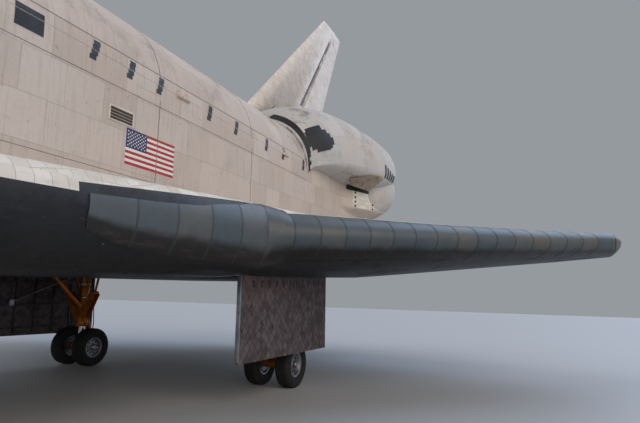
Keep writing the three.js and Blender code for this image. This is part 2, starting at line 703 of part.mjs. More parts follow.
// Elevons: inboard edge, outboard edge
const ELEVONS = [
  { name: 'inboard', from: 122, to: 311.5 },
  { name: 'outboard', from: 313.5, to: 459.5 },
];
const CUT_BACK = 0.74;

function hingeDirection() {
  return hingeSpot(400).sub(hingeSpot(100)).normalize();
}

function lugPorts(elevon) {
  const inset = 0.14 * (elevon.to - elevon.from);
  return [elevon.from + inset, elevon.to - inset];
}

function lugBlock(port, half, radius, from, to, height) {
  const direction = hingeDirection();
  const spot = hingeSpot(port);
  const low = spot.clone().addScaledVector(direction, -half);
  const high = spot.clone().addScaledVector(direction, half);
  const shift = (from + to) / 2;
  const web = bar(
    low.clone().add(at(shift, 0, 0)), high.clone().add(at(shift, 0, 0)), Math.abs(to - from), height,
  );
  return rod(low, high, radius, radius, 8).add(web);
}

const mirrored = (solid) => {
  const geometry = geometryOf(solid).scale(-1, 1, 1);
  geometry.setIndex([...geometry.index.array].reverse());
  return solidOf(geometry);
};

function elevonSolid(elevon, wing) {
  const [low, high] = [hingeSpot(elevon.from), hingeSpot(elevon.to)];
  const slab = bar(low, high, 500, 300);
  const blade = wing.intersect(box(at(WING_HINGE, 100, 200), at(1600, 500, 400))).intersect(slab);
  const nose = rod(low, high, hingeRadius(elevon.from), hingeRadius(elevon.to), 12);
  let panel = blade.add(nose);
  for (const port of lugPorts(elevon)) {
    const radius = hingeRadius(port);
    panel = panel.subtract(lugBlock(port, 1.5 + FACE, radius * 0.8, -2 * radius, 0, 2.4 * radius));
  }
  return panel;
}

function buildWings() {
  const whole = wingSolid();
  const skin = hull(400, 1540, GAP);
  const rearCut = planPrism([
    [ELEVONS[0].from - 2, WING_HINGE - CUT_BACK * hingeRadius(120)],
    [461.6, WING_HINGE - CUT_BACK * hingeRadius(461)], [461.6, 1600], [ELEVONS[0].from - 2, 1600],
  ], 200, 400);
  const rootCut = box(at(1500, 60, 200), at(1600, 126, 400));
  const well = box(at(WELL.front, WELL.inner, 200), at(WELL.rear, WELL.outer, WELL.top));
  const room = SWING + 0.3;
  const cove = rod(hingeSpot(118), hingeSpot(464), hingeRadius(118) + room, hingeRadius(464) + room, 16);
  const lugs = ELEVONS.flatMap((elevon) => lugPorts(elevon)).map((port) => {
    const radius = hingeRadius(port);
    return lugBlock(port, 1.5, radius * 0.6, -1.6 * radius, 0, 0.7 * radius);
  });
  const body = cutBy(whole, [edgePrism(GAP * 1.4), rearCut, rootCut, well, cove]).add(joined(lugs));
  const edge = whole.intersect(edgePrism(0));
  const panels = ELEVONS.map((elevon) => [elevon.name, elevonSolid(elevon, whole)]);
  for (const [turn, word] of [[(solid) => solid, 'left'], [mirrored, 'right']]) {
    part(`wing_${word}`, turn(body).subtract(skin), 'blackTile');
    part(`leading_edge_${word}`, turn(edge), 'carbon');
    for (const [name, panel] of panels) part(`elevon_${name}_${word}`, turn(panel), 'blackTile');
  }
}

// Fin: sections across the height, each a slim wedge with its thickest place near the rudder hinge
const finShare = (waterline) => (waterline - FIN_ROOT.waterline) / (FIN_TIP.waterline - FIN_ROOT.waterline);
const mix = (low, high, share) => low + (high - low) * share;
const finFront = (waterline) => mix(FIN_ROOT.front, FIN_TIP.front, finShare(waterline));
const finRear = (waterline) => mix(FIN_ROOT.rear, FIN_TIP.rear, finShare(waterline));
const rudderHinge = (waterline) => mix(finFront(waterline), finRear(waterline), RUDDER_CHORD);
const finHalf = (waterline) => 0.046 * (finRear(waterline) - finFront(waterline));
const FIN_OUTLINE = [[0, 0.06], [0.03, 0.32], [0.15, 0.66], [0.4, 0.96], [0.6, 1], [1, 0.12]];

function finSolid(grow = 0) {
  const levels = [490, RUDDER_FOOT, RUDDER_HEAD, FIN_TIP.waterline - 4, FIN_TIP.waterline];
  const rings = levels.map((waterline, i) => {
    const slim = i === 4 ? 0.5 : 1;
    const chord = finRear(waterline) - finFront(waterline);
    const side = FIN_OUTLINE.map(([share, half]) => {
      const width = half * finHalf(waterline) * slim + grow;
      return at(finFront(waterline) + share * chord, width, waterline);
    });
    const other = side.map((p) => at(p.y, -p.x, p.z)).reverse();
    return [...side, ...other];
  });
  return loft(rings);
}

function hingeLine(waterline) {
  return at(rudderHinge(waterline), 0, waterline);
}

const rudderAxis = hingeLine(RUDDER_HEAD).sub(hingeLine(RUDDER_FOOT)).normalize();
const rudderSpot = (distance) => hingeLine(RUDDER_FOOT).addScaledVector(rudderAxis, distance);
const RUDDER_LENGTH = hingeLine(RUDDER_HEAD).distanceTo(hingeLine(RUDDER_FOOT));
const SHAFT = { radius: 2.2, from: 3, to: RUDDER_LENGTH - 4, ring: 4 };
const COLLAR = { radius: 3.3, length: 3 };
const RINGS = { left: [[30, 50], [150, 170]], right: [[56, 76], [176, 196]] };

// Degrees outboard at which room is left for each panel, from full rudder one way to full rudder and brake
const RUDDER_SWEEP = [-27.1, -19, -12, -7, -3.5, 12, 25, 38, 51, 64, 70, 76.4];

function rudderPanel(side, grow = 0) {
  const outline = [
    [rudderHinge(RUDDER_FOOT) - grow, RUDDER_FOOT + SWING - grow], [1800, RUDDER_FOOT + SWING - grow],
    [1800, RUDDER_HEAD - SWING + grow], [rudderHinge(RUDDER_HEAD) - grow, RUDDER_HEAD - SWING + grow],
  ];
  const range = side > 0 ? [0.1, 60] : [-60, -0.1];
  return finSolid(grow).intersect(sidePrism(outline, ...range));
}

function buildFin() {
  const offset = (waterline) => rudderHinge(waterline) - finHalf(waterline) - 0.4;
  const rudderRoom = sidePrism([
    [offset(RUDDER_FOOT), RUDDER_FOOT], [1800, RUDDER_FOOT],
    [1800, RUDDER_HEAD + 0.2], [offset(RUDDER_HEAD), RUDDER_HEAD + 0.2],
  ], -60, 60);
  const front = box(at(1200, -60, 480), at(1309, 60, 560));
  const tail = sidePrism([[1484, 480], [1484, 507], [1590, 573], [1700, 573], [1700, 480]], -60, 60);
  const origin = hingeLine(RUDDER_FOOT);
  const sweeps = [1, -1].flatMap((side) => RUDDER_SWEEP.map((degrees) => {
    const angle = THREE.MathUtils.degToRad(-side * degrees);
    const matrix = new THREE.Matrix4().makeTranslation(origin.x, origin.y, origin.z)
      .multiply(new THREE.Matrix4().makeRotationAxis(rudderAxis, angle))
      .multiply(new THREE.Matrix4().makeTranslation(-origin.x, -origin.y, -origin.z));
    return turned(rudderPanel(side, RUDDER_ROOM), matrix);
  }));
  const bosses = [
    rod(rudderSpot(-10), rudderSpot(SHAFT.from - FACE), SHAFT.radius),
    rod(rudderSpot(SHAFT.to + FACE), rudderSpot(RUDDER_LENGTH + 8), SHAFT.radius),
  ];
  const body = cutBy(finSolid(), [rudderRoom, front, tail, hull(1300, 1540, GAP), ...sweeps]);
  part('fin', joined([body, ...bosses]), 'blanket');
  const shaft = rod(rudderSpot(SHAFT.from), rudderSpot(SHAFT.to), SHAFT.radius);
  part('rudder_shaft', joined([shaft, ...collars(0)]), 'structure');
}

function collars(room) {
  return [...RINGS.left, ...RINGS.right].map(([, to]) => {
    const start = to + (room > 0 ? -room : FACE);
    return rod(rudderSpot(start), rudderSpot(to + COLLAR.length + room), COLLAR.radius + room);
  });
}

function buildRudder() {
  for (const [side, word, other] of [[1, 'left', 'right'], [-1, 'right', 'left']]) {
    const room = SHAFT.radius + SWING;
    const groove = rod(rudderSpot(-12), rudderSpot(RUDDER_LENGTH + 12), room, room);
    const notches = RINGS[other].map(([from, to]) => rod(
      rudderSpot(from - SWING), rudderSpot(to + SWING), SHAFT.ring + SWING, SHAFT.ring + SWING,
    ));
    const bore = (SHAFT.radius + FACE) / Math.cos(Math.PI / 12);
    const rings = RINGS[word].map(([from, to]) => rod(rudderSpot(from), rudderSpot(to), SHAFT.ring)
      .subtract(rod(rudderSpot(from - 1), rudderSpot(to + 1), bore)));
    const panel = cutBy(rudderPanel(side), [groove, ...notches, ...collars(SWING)]);
    part(`rudder_panel_${word}`, joined([panel, ...rings]), 'blanket');
  }
}

// Wheels: a tyre is a closed ring on a rim, and both rims and the axle between them turn as one
function tyreSolid(gear, port) {
  const half = gear.width / 2;
  const profile = [
    [gear.rim, -half * 0.72], [gear.tyre * 0.8, -half], [gear.tyre * 0.94, -half * 0.82],
    [gear.tyre, -half * 0.5], [gear.tyre, half * 0.5], [gear.tyre * 0.94, half * 0.82],
    [gear.tyre * 0.8, half], [gear.rim, half * 0.72], [gear.rim, -half * 0.72],
  ];
  return axled(lathe(profile, WHEEL_SIDES), gear, port);
}

function axled(solid, gear, port) {
  const matrix = new THREE.Matrix4().makeRotationZ(-Math.PI / 2);
  return turned(solid, matrix.setPosition(at(gear.station, port, gear.axle)));
}

function axleSolid(gear, port) {
  const half = rimHalf(gear);
  const rim = gear.rim - GAP * 1.5;
  const wheels = [1, -1].map((side) => {
    const face = [
      [0, -half], [rim, -half], [rim, half], [rim * 0.78, half], [rim * 0.4, half * 0.3], [0, half * 1.1],
    ];
    const profile = side > 0 ? face : face.map(([radius, y]) => [radius, -y]).reverse();
    return axled(lathe(profile, WHEEL_SIDES), gear, port + side * gear.spread);
  });
  const end = (side) => at(gear.station, port + side * gear.spread, gear.axle);
  return joined([...wheels, rod(end(-1), end(1), gear.rim * 0.22)]);
}

const rimHalf = (gear) => gear.width * 0.36;
const bossReach = (gear) => gear.spread - rimHalf(gear) - FACE;

function axleBore(gear, port) {
  const radius = (gear.rim * 0.22 + FACE) / Math.cos(Math.PI / 12);
  const reach = gear.spread;
  return rod(at(gear.station, port - reach, gear.axle), at(gear.station, port + reach, gear.axle), radius);
}

function buildNoseGear() {
  const { station, axle } = NOSE_GEAR;
  const split = axle + 34;
  const top = NOSE_WELL.top - GAP;
  const strut = joined([
    rod(at(station, 0, split + FACE), at(station, 0, top), 4.6),
    rod(at(station, 0, split + 12), at(station - 34, 0, top - 1), 2, 2, 6),
    bar(at(station - 34, -14, top - 2), at(station - 34, 14, top - 2), 4, 4 - GAP * 4),
    bar(at(station, -16, top - 8), at(station, 16, top - 8), 5, 5),
  ]);
  part('nose_gear_strut', strut, 'goldStrut');
  const fork = joined([
    rod(at(station, 0, axle), at(station, 0, split), 3.4),
    rod(at(station, 0, split - 6), at(station, 0, split), 5),
    rod(at(station, -bossReach(NOSE_GEAR), axle), at(station, bossReach(NOSE_GEAR), axle), 3),
    bar(at(station - 3, 0, axle + 8), at(station - 11, 0, axle + 18), 3, 2),
    bar(at(station - 11, 0, axle + 18), at(station - 3, 0, axle + 28), 3, 2),
  ]).subtract(axleBore(NOSE_GEAR, 0));
  part('nose_steering_fork', fork, 'goldStrut');
  part('nose_axle', axleSolid(NOSE_GEAR, 0), 'wheelMetal');
  for (const [side, word] of [[1, 'left'], [-1, 'right']]) {
    part(`nose_tyre_${word}`, tyreSolid(NOSE_GEAR, side * NOSE_GEAR.spread), 'rubber');
    const inner = side * (NOSE_WELL.half + 1);
    const outer = side * (NOSE_WELL.half + 3);
    const door = box(
      at(NOSE_WELL.front + 1, Math.min(inner, outer), 250),
      at(NOSE_WELL.rear - 1, Math.max(inner, outer), 290),
    );
    part(`nose_gear_door_${word}`, door.subtract(hull(300, 500, GAP)), 'blackTile');
  }
}

function buildMainGear() {
  const { station, port, axle, spread } = MAIN_GEAR;
  const top = WELL.top - GAP;
  const boss = bossReach(MAIN_GEAR);
  const strut = joined([
    rod(at(station, port, axle + 40), at(station, port, top), 5.5),
    rod(at(station, port, axle), at(station, port, axle + 42), 3.8),
    rod(at(station, port - boss, axle), at(station, port + boss, axle), 4.6),
    rod(at(station, port, axle + 48), at(station - 6, port - 21, top - 2), 1.8, 1.8, 6),
    rod(at(station, port, axle + 48), at(station - 6, port + 21, top - 2), 1.8, 1.8, 6),
    rod(at(station, port, axle + 44), at(station - 78, port, top - 2), 2.4, 2.4, 6),
    bar(at(station - 78, port - 16, top - 3), at(station - 78, port + 16, top - 3), 5, 5),
    bar(at(station - 6, port - 23, top - 3), at(station - 6, port + 23, top - 3), 5, 5),
    bar(at(station + 3, port, axle + 8), at(station + 12, port, axle + 22), 4, 2.4),
    bar(at(station + 12, port, axle + 22), at(station + 4, port, axle + 40), 4, 2.4),
  ]).subtract(axleBore(MAIN_GEAR, port));
  const axleSet = axleSolid(MAIN_GEAR, port);
  const tyres = [['outer', spread], ['inner', -spread]].map(([word, offset]) => [
    word, tyreSolid(MAIN_GEAR, port + offset),
  ]);
  const door = sidePrism([[1045, 290], [1045, 200], [1217, 194.5], [1217, 290]], 169, 171.5)
    .subtract(wingSolid(GAP));
  for (const [turn, word] of [[(solid) => solid, 'left'], [mirrored, 'right']]) {
    part(`main_gear_strut_${word}`, turn(strut), 'goldStrut');
    part(`main_axle_${word}`, turn(axleSet), 'wheelMetal');
    for (const [name, tyre] of tyres) part(`main_tyre_${name}_${word}`, turn(tyre), 'rubber');
    part(`main_gear_door_${word}`, turn(door), 'blackTile');
  }
}

buildForwardFuselage();
buildHatch();
buildWindows();
buildFlightDeck();
buildMidFuselage();
buildBayDoors();
buildAftFuselage();
buildThrustStructure();
buildEngines();
buildBodyFlap();
buildPods();
buildWings();
buildFin();
buildRudder();
buildNoseGear();
buildMainGear();

// Parked attitude, then the whole vehicle centred over the floor
airframe.rotation.x = PARKED_PITCH;
orbiter.updateMatrixWorld(true);
const bounds = new THREE.Box3().setFromObject(orbiter, true);
const centre = bounds.getCenter(new THREE.Vector3());
airframe.position.set(-centre.x, -centre.y, -bounds.min.z);

export default orbiter;
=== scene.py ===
import math
import random

import bmesh
import bpy
import numpy as np
from mathutils import Matrix, Vector


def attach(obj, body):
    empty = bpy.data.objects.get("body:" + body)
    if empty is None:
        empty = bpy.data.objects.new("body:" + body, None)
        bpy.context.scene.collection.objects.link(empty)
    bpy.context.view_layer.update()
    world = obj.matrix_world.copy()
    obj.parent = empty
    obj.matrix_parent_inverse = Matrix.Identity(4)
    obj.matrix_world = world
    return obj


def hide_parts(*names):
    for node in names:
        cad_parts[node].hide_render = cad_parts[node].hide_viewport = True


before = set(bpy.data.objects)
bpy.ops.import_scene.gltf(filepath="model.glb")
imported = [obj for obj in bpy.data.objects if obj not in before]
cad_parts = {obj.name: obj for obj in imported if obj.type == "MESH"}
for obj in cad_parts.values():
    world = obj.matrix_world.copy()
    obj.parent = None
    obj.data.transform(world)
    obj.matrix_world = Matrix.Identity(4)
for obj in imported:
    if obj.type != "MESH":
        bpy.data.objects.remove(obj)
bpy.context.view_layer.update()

# Places are worked out in the vehicle's own inches: port, station aft of the nose datum, and waterline
INCH = 0.0254
PITCH = math.radians(2.4)
PARKED_AT = Vector((0, 0.191622, 5.881217))
MIDDLE = Vector((0, 969, 400))
TO_ROW = (
    Matrix.Translation(PARKED_AT)
    @ Matrix.Rotation(PITCH, 4, "X")
    @ Matrix.Scale(INCH, 4)
    @ Matrix.Translation(-MIDDLE)
)
TO_BODY = TO_ROW.inverted()
SIDES = [(1, "left"), (-1, "right")]

# Station, half width, bottom, top, widest waterline, lower and upper roundness of the fuselage
HULL = np.array([
    [236, 5, 334, 344, 339, 2, 2], [238, 11, 328, 349.5, 339, 2, 2],
    [243, 19, 320.5, 356.5, 338.5, 2, 2], [251, 28, 312, 364.5, 338, 2, 2],
    [262, 36, 303, 373, 337, 2.1, 2], [280, 46, 293, 383, 336, 2.3, 2],
    [300, 54.5, 285.5, 392, 336, 2.5, 2], [330, 64.5, 279, 403, 337, 2.9, 2],
    [360, 73, 276, 413, 340, 3.4, 2], [400, 82, 273, 426, 348, 4.2, 2],
    [418, 86, 272.5, 432, 352, 4.5, 2.1], [440, 89, 272, 455, 360, 4.8, 2.2],
    [470, 93.5, 271, 484, 372, 5.2, 2.2], [500, 97, 270, 496, 384, 5.8, 2.1],
    [540, 101, 269, 500, 398, 7, 2.1], [582, 105, 268, 500, 410, 9, 2.1],
    [700, 105, 266, 500, 410, 14, 2.1], [1307, 105, 264, 500, 410, 16, 2.1],
    [1400, 108, 270, 503, 410, 14, 2.1], [1528, 118, 283, 507, 405, 9, 2.3],
])
# Station, port, waterline, half width, height above and below of the engine pods
PODS = np.array([
    [1307.2, 0, 412, 105.3, 88.4, 4], [1320, 20, 424, 92, 90, 8], [1345, 36, 434, 90, 93, 14],
    [1380, 50, 440, 88, 95, 20], [1420, 60, 444, 89, 93, 26], [1460, 68, 447, 91, 89, 30],
    [1500, 75, 449, 92, 82, 33], [1530, 80, 451, 91, 74, 34], [1550, 86, 453, 82, 64, 33],
    [1565, 94, 456, 66, 52, 30], [1574, 102, 460, 46, 38, 22],
])
POD_ROUNDNESS = 2.25
# Port, leading edge station, waterline, thickness and trailing edge station of the wing
WING = np.array([
    [84, 446, 293, 50, 1508], [105, 478, 293, 52, 1506.6], [125, 568, 294, 54, 1503],
    [150, 726, 296, 56, 1498.6], [175, 884, 298, 58, 1494.2], [199, 1035, 299, 58, 1489.9],
    [240, 1076, 300, 53, 1482.6], [312.5, 1148.5, 302, 42, 1469.8], [400, 1236, 305.5, 31, 1454.3],
    [460.8, 1296.8, 309.5, 23, 1443.5], [468.3, 1316, 310.5, 10, 1436],
])
WING_HINGE = 1387
# Plan line of port and station behind the carbon panels
EDGE_LINE = np.array([[177, 948], [194, 1058], [215, 1074], [480, 1339]])
BAY_FRONT, BAY_REAR, BAY_RADIUS, BAY_CENTRE, SILL = 582, 1307, 93, 400, 420

# The camera that the photograph was taken with, found from known points of the vehicle
EYE = (374.3, 720.9, 260.2)
HEADING, LIFT, ROLL = (math.radians(v) for v in (23.04, 8.69, 0.9))
FOCAL_PIXELS, WIDE_PIXELS, SENSOR = 484, 640, 36


def place_camera():
    """Sets the camera where the photograph was taken from."""
    ahead = Vector((
        -math.cos(LIFT) * math.sin(HEADING), math.cos(LIFT) * math.cos(HEADING), math.sin(LIFT),
    ))
    across = ahead.cross(Vector((0, 0, 1))).normalized()
    up = across.cross(ahead)
    right = across * math.cos(ROLL) + up * math.sin(ROLL)
    top = up * math.cos(ROLL) - across * math.sin(ROLL)
    turn = Matrix.Rotation(PITCH, 4, "X").to_3x3() @ Matrix((right, top, -ahead)).transposed()
    lens = bpy.data.cameras.new("camera")
    lens.sensor_width = SENSOR
    lens.lens = FOCAL_PIXELS / WIDE_PIXELS * SENSOR
    lens.clip_end = 500
    camera = bpy.data.objects.new("camera", lens)
    camera.matrix_world = Matrix.Translation(TO_ROW @ Vector(EYE)) @ turn.to_4x4()
    bpy.context.collection.objects.link(camera)
    bpy.context.scene.camera = camera


def soft_light(name, heading, height, strength, colour):
    """A very soft distant light: where it comes from by degrees round from the nose and up."""
    light = bpy.data.lights.new(name, "SUN")
    light.angle = math.radians(50)
    light.energy = strength
    light.color = tone(colour)[:3]
    lamp = bpy.data.objects.new(name, light)
    turn = Matrix.Rotation(math.radians(heading), 4, "Z") @ Matrix.Rotation(math.radians(90 - height), 4, "X")
    lamp.matrix_world = Matrix.Translation((0, 0, 30)) @ turn
    bpy.context.collection.objects.link(lamp)


def tone(code):
    """An sRGB hex value as a linear colour."""
    parts = [int(code[i : i + 2], 16) / 255 for i in (1, 3, 5)]
    return [p / 12.92 if p <= 0.04045 else ((p + 0.055) / 1.055) ** 2.4 for p in parts] + [1]


def add(tree, kind, links=None, out=0, **settings):
    """Adds a node with its settings, its inputs' values, hex colours and links, and gives one output."""
    node = tree.nodes.new(kind)
    for name, value in settings.items():
        setattr(node, name, value)
    for key, value in (links or {}).items():
        if isinstance(value, bpy.types.NodeSocket):
            tree.links.new(value, node.inputs[key])
        else:
            node.inputs[key].default_value = tone(value) if isinstance(value, str) else value
    return node.outputs[out] if node.outputs else node


NOISE, BRICK, MATH, MIX = "ShaderNodeTexNoise", "ShaderNodeTexBrick", "ShaderNodeMath", "ShaderNodeMix"
RANGE, VECTOR, SPLIT, JOIN = (
    "ShaderNodeMapRange", "ShaderNodeVectorMath", "ShaderNodeSeparateXYZ", "ShaderNodeCombineXYZ",
)


def patches(tree, colour, spot, hue, grain, reach, stretch=None):
    """Lays another hue over a colour in patches, and gives the new colour and how much of it there is.

    grain is the pattern's scale, detail and roughness, and reach is where it starts to show, where it is
    full and how strong it gets there. A stretch drags it out along the vehicle or down its sides.
    """
    scale, detail, roughness = grain
    start, full, most = reach
    if stretch:
        spot = add(tree, VECTOR, {0: spot, 1: stretch}, operation="MULTIPLY")
    cloud = add(tree, NOISE, {"Vector": spot, "Scale": scale, "Detail": detail, "Roughness": roughness})
    share = add(tree, RANGE, {"Value": cloud, 1: start, 2: full, 4: most})
    return add(tree, MIX, {0: share, 6: colour, 7: hue}, 2, data_type="RGBA"), share


def rising(tree):
    """How far up a face looks, from -1 to 1."""
    normal = add(tree, "ShaderNodeTexCoord", out="Normal")
    return add(tree, SPLIT, {0: normal}).node.outputs[2]


def holds(tree, *tests):
    """1 where every test holds, each a value, how it is compared and what with."""
    whole = None
    for value, how, limit in tests:
        one = add(tree, MATH, {0: value, 1: limit}, operation=how)
        whole = one if whole is None else add(tree, MATH, {0: whole, 1: one}, operation="MULTIPLY")
    return whole


def cornerwise(tree, first, second):
    """Two lengths turned by an eighth, as sum and difference."""
    ahead = add(tree, MATH, {0: first, 1: second}, operation="ADD")
    aside = add(tree, MATH, {0: first, 1: second}, operation="SUBTRACT")
    return add(tree, JOIN, {0: ahead, 1: aside, 2: 0})


def body_spot(tree):
    """Object coordinates turned into the vehicle's own inches."""
    spot = add(tree, "ShaderNodeTexCoord", out="Object")
    places = {"Vector": spot, "Location": PARKED_AT, "Rotation": (PITCH, 0, 0), "Scale": (INCH,) * 3}
    spot = add(tree, "ShaderNodeMapping", places, vector_type="TEXTURE")
    return add(tree, VECTOR, {0: spot, 1: MIDDLE}, operation="ADD")


def girth_plane(tree, spot):
    """Station against the way round the side and over the top."""
    port, station, waterline = add(tree, SPLIT, {0: spot}).node.outputs
    height = add(tree, MATH, {0: waterline, 1: 400}, operation="SUBTRACT")
    above = add(tree, MATH, {0: height, 1: 0}, operation="MAXIMUM")
    below = add(tree, MATH, {0: height, 1: 0}, operation="MINIMUM")
    across = add(tree, MATH, {0: port}, operation="ABSOLUTE")
    over = add(tree, MATH, {0: above, 1: across}, operation="ARCTAN2")
    girth = add(tree, MATH, {0: over, 1: 105, 2: below}, operation="MULTIPLY_ADD")
    return add(tree, JOIN, {0: station, 1: girth, 2: 0}), girth


def flat_plane(tree, spot):
    """Seen from above on level faces, and from the side on steep ones."""
    port, station, waterline = add(tree, SPLIT, {0: spot}).node.outputs
    steep = add(tree, MATH, {0: rising(tree), 1: 0, 2: 0.6}, operation="COMPARE")
    across = add(tree, MIX, {0: steep, 2: port, 3: waterline})
    return station, across, add(tree, JOIN, {0: station, 1: across, 2: 0})


def felt_blanket(tree, spot, pale="#CFC4B9", deep="#BFB2A6", dirt="#50463F"):
    """Quilted felt over sewn panels: matt, warm off-white, streaked and sooty after many flights."""
    plane, girth = girth_plane(tree, spot)
    colour, seam = add(tree, BRICK, {
        "Vector": plane, "Color1": pale, "Color2": deep, "Mortar": "#A79C8D",
        "Scale": 1, "Mortar Size": 0.13, "Mortar Smooth": 0.3,
        "Brick Width": 31.0, "Row Height": 29.0,
    }, offset=0.37).node.outputs
    # Stitching is 25 mm apart; drawn at 100 mm to show
    quilt = add(tree, BRICK, {
        "Vector": plane, "Scale": 1, "Mortar Size": 0.14, "Mortar Smooth": 1.0,
        "Brick Width": 4.0, "Row Height": 4.0,
    }, out="Fac", offset=0.0)
    colour, _ = patches(tree, colour, spot, "#C7B2A3", (0.012, 6, 0.65), (0.35, 0.7, 0.5))
    fine = add(tree, NOISE, {"Vector": spot, "Scale": 0.35, "Detail": 4, "Roughness": 0.7})
    # Water and soot run down the sides
    colour, _ = patches(tree, colour, plane, "#8B7F72", (1, 5, 0.65), (0.5, 0.76, 0.34), (0.42, 0.022, 1))
    high = add(tree, RANGE, {"Value": girth, 1: 22, 2: 75, 3: 0.16})
    smudge = add(tree, NOISE, {"Vector": spot, "Scale": 0.03, "Detail": 8, "Roughness": 0.72})
    smudge = add(tree, RANGE, {"Value": smudge, 1: 0.52, 2: 0.72, 4: 0.8})
    soot = add(tree, MATH, {0: smudge, 1: high}, operation="MULTIPLY")
    colour = add(tree, MIX, {0: soot, 6: colour, 7: dirt}, 2, data_type="RGBA")
    colour, _ = patches(tree, colour, spot, "#7A6C5E", (0.16, 5, 0.75), (0.62, 0.7, 0.55))
    grime = add(tree, MATH, {0: fine, 1: 0.14}, operation="MULTIPLY")
    colour = add(tree, MIX, {0: grime, 6: colour, 7: "#6F645A"}, 2, data_type="RGBA")
    height = add(tree, MATH, {0: quilt, 1: -0.3, 2: 0.0}, operation="MULTIPLY_ADD")
    height = add(tree, MATH, {0: height, 1: seam}, operation="SUBTRACT")
    height = add(tree, MATH, {0: fine, 1: 0.3, 2: height}, operation="MULTIPLY_ADD")
    rough = add(tree, RANGE, {"Value": fine, 1: 0.2, 2: 0.8, 3: 0.78, 4: 0.95})
    return colour, rough, height


def dark_tile(tree, spot, pale="#161618", deep="#0C0C0E", patch="#35312D"):
    """Glazed silica tiles: near black with a dull gloss, no two the same after refits, with grey deposits."""
    station, across, _ = flat_plane(tree, spot)
    # Tiles run cornerwise under the vehicle
    corner = cornerwise(tree, station, across)
    corner = add(tree, VECTOR, {0: corner, 1: (0.7071, 0.7071, 0)}, operation="MULTIPLY")
    colour, gap = add(tree, BRICK, {
        "Vector": corner, "Color1": deep, "Color2": pale, "Mortar": "#0A0A0A",
        "Scale": 1, "Mortar Size": 0.12, "Mortar Smooth": 0.3, "Bias": -0.1,
        "Brick Width": DARK_TILE_SIZE, "Row Height": DARK_TILE_SIZE,
    }, offset=0.0).node.outputs
    colour, cloud = patches(tree, colour, spot, patch, (0.03, 6, 0.7), (0.5, 0.72, 0.5))
    colour, _ = patches(tree, colour, spot, "#3B3733", (1, 4, 0.65), (0.56, 0.8, 0.3), (0.4, 0.02, 0.4))
    colour, _ = patches(tree, colour, spot, "#7C776F", (0.3, 3, 0.6), (0.7, 0.74, 0.6))
    height = add(tree, MATH, {0: gap, 1: -1.0}, operation="MULTIPLY")
    rough = add(tree, RANGE, {"Value": cloud, 1: 0, 2: 0.5, 3: 0.5, 4: 0.78})
    return colour, rough, height


def white_tile(tree, spot, pale="#E0DACF", deep="#D2CABD", stain="#A3968A"):
    """Pale silica tiles: the same blocks with a white glaze, faintly yellowed, dark gaps between."""
    plane = flat_plane(tree, spot)[2]
    colour, gap = add(tree, BRICK, {
        "Vector": plane, "Color1": pale, "Color2": deep, "Mortar": "#8A8277",
        "Scale": 1, "Mortar Size": 0.09, "Mortar Smooth": 0.3,
        "Brick Width": 8.0, "Row Height": 8.0,
    }, offset=0.5).node.outputs
    colour, cloud = patches(tree, colour, spot, stain, (0.05, 7, 0.7), (0.5, 0.8, 0.6))
    colour, _ = patches(tree, colour, spot, "#8E867C", (1, 4, 0.65), (0.55, 0.8, 0.4), (0.35, 0.02, 0.35))
    height = add(tree, MATH, {0: gap, 1: -1.0}, operation="MULTIPLY")
    rough = add(tree, RANGE, {"Value": cloud, 1: 0, 2: 0.6, 3: 0.6, 4: 0.85})
    return colour, rough, height


def new_material(name):
    material = bpy.data.materials.new(name)
    material.use_nodes = True
    tree = material.node_tree
    tree.nodes.clear()
    return material, tree


def close_material(tree, colour, rough, height=None, depth=0.004, **shader):
    """Joins colour, roughness and height to one shader."""
    links = {"Base Color": colour, "Roughness": rough}
    links.update({name.replace("_", " "): value for name, value in shader.items()})
    if height is not None:
        bump = {"Height": height, "Distance": depth, "Strength": 0.8}
        links["Normal"] = add(tree, "ShaderNodeBump", bump)
    surface = add(tree, "ShaderNodeBsdfPrincipled", links)
    add(tree, "ShaderNodeOutputMaterial", {"Surface": surface})


def two_finishes(name, first, second, choose):
    """One finish where choose gives 0 and the other where it gives 1."""
    material, tree = new_material(name)
    spot = body_spot(tree)
    share = choose(tree, spot)
    one, two = first(tree, spot), second(tree, spot)
    colour = add(tree, MIX, {0: share, 6: one[0], 7: two[0]}, 2, data_type="RGBA")
    rough = add(tree, MIX, {0: share, 2: one[1], 3: two[1]})
    height = add(tree, MIX, {0: share, 2: one[2], 3: two[2]})
    close_material(tree, colour, rough, height)
    return material


def one_finish(name, made, *tones, depth=0.004, **shader):
    """The same finish all over, in other tones where they are given."""
    material, tree = new_material(name)
    colour, rough, height = made(tree, body_spot(tree), *tones)
    close_material(tree, colour, rough, height, depth, **shader)
    return material


# Stations that the dark tiles' edge falls between, the waterlines it falls from and to, or how far
NOSE_FALL, SIDE_FALL = {1: 236, 2: 420, 3: 352, 4: 311}, {1: 420, 2: 620, 4: 19}
DARK_TILE_SIZE = 6
# Ports and then stations that the dark strip along the top of the swept front edge runs between
FRONT_STRIP = {1: 199, 2: 480, 3: 1066, 4: 1343}
# Stations of the first carbon panel, of the end of the wing's first tip and of the swept front's start
FIRST_PANEL, FIRST_TIP_END, SWEPT_START = 889, 640, 1066
# The dark band's top above the inner front, by station
INNER_BAND = {1: 889, 2: 1025, 3: 309, 4: 320}


def below_chine(tree, spot):
    """1 under the line where dark tiles end, which falls from the nose to the wing."""
    _, station, waterline = add(tree, SPLIT, {0: spot}).node.outputs
    # The line steps from tile to tile
    step = add(tree, MATH, {0: station, 1: DARK_TILE_SIZE}, operation="SNAP")
    fore = add(tree, RANGE, {"Value": step, **NOSE_FALL})
    fall = add(tree, RANGE, {"Value": step, **SIDE_FALL})
    line = add(tree, MATH, {0: fore, 1: fall}, operation="SUBTRACT")
    return holds(tree, (waterline, "LESS_THAN", line))


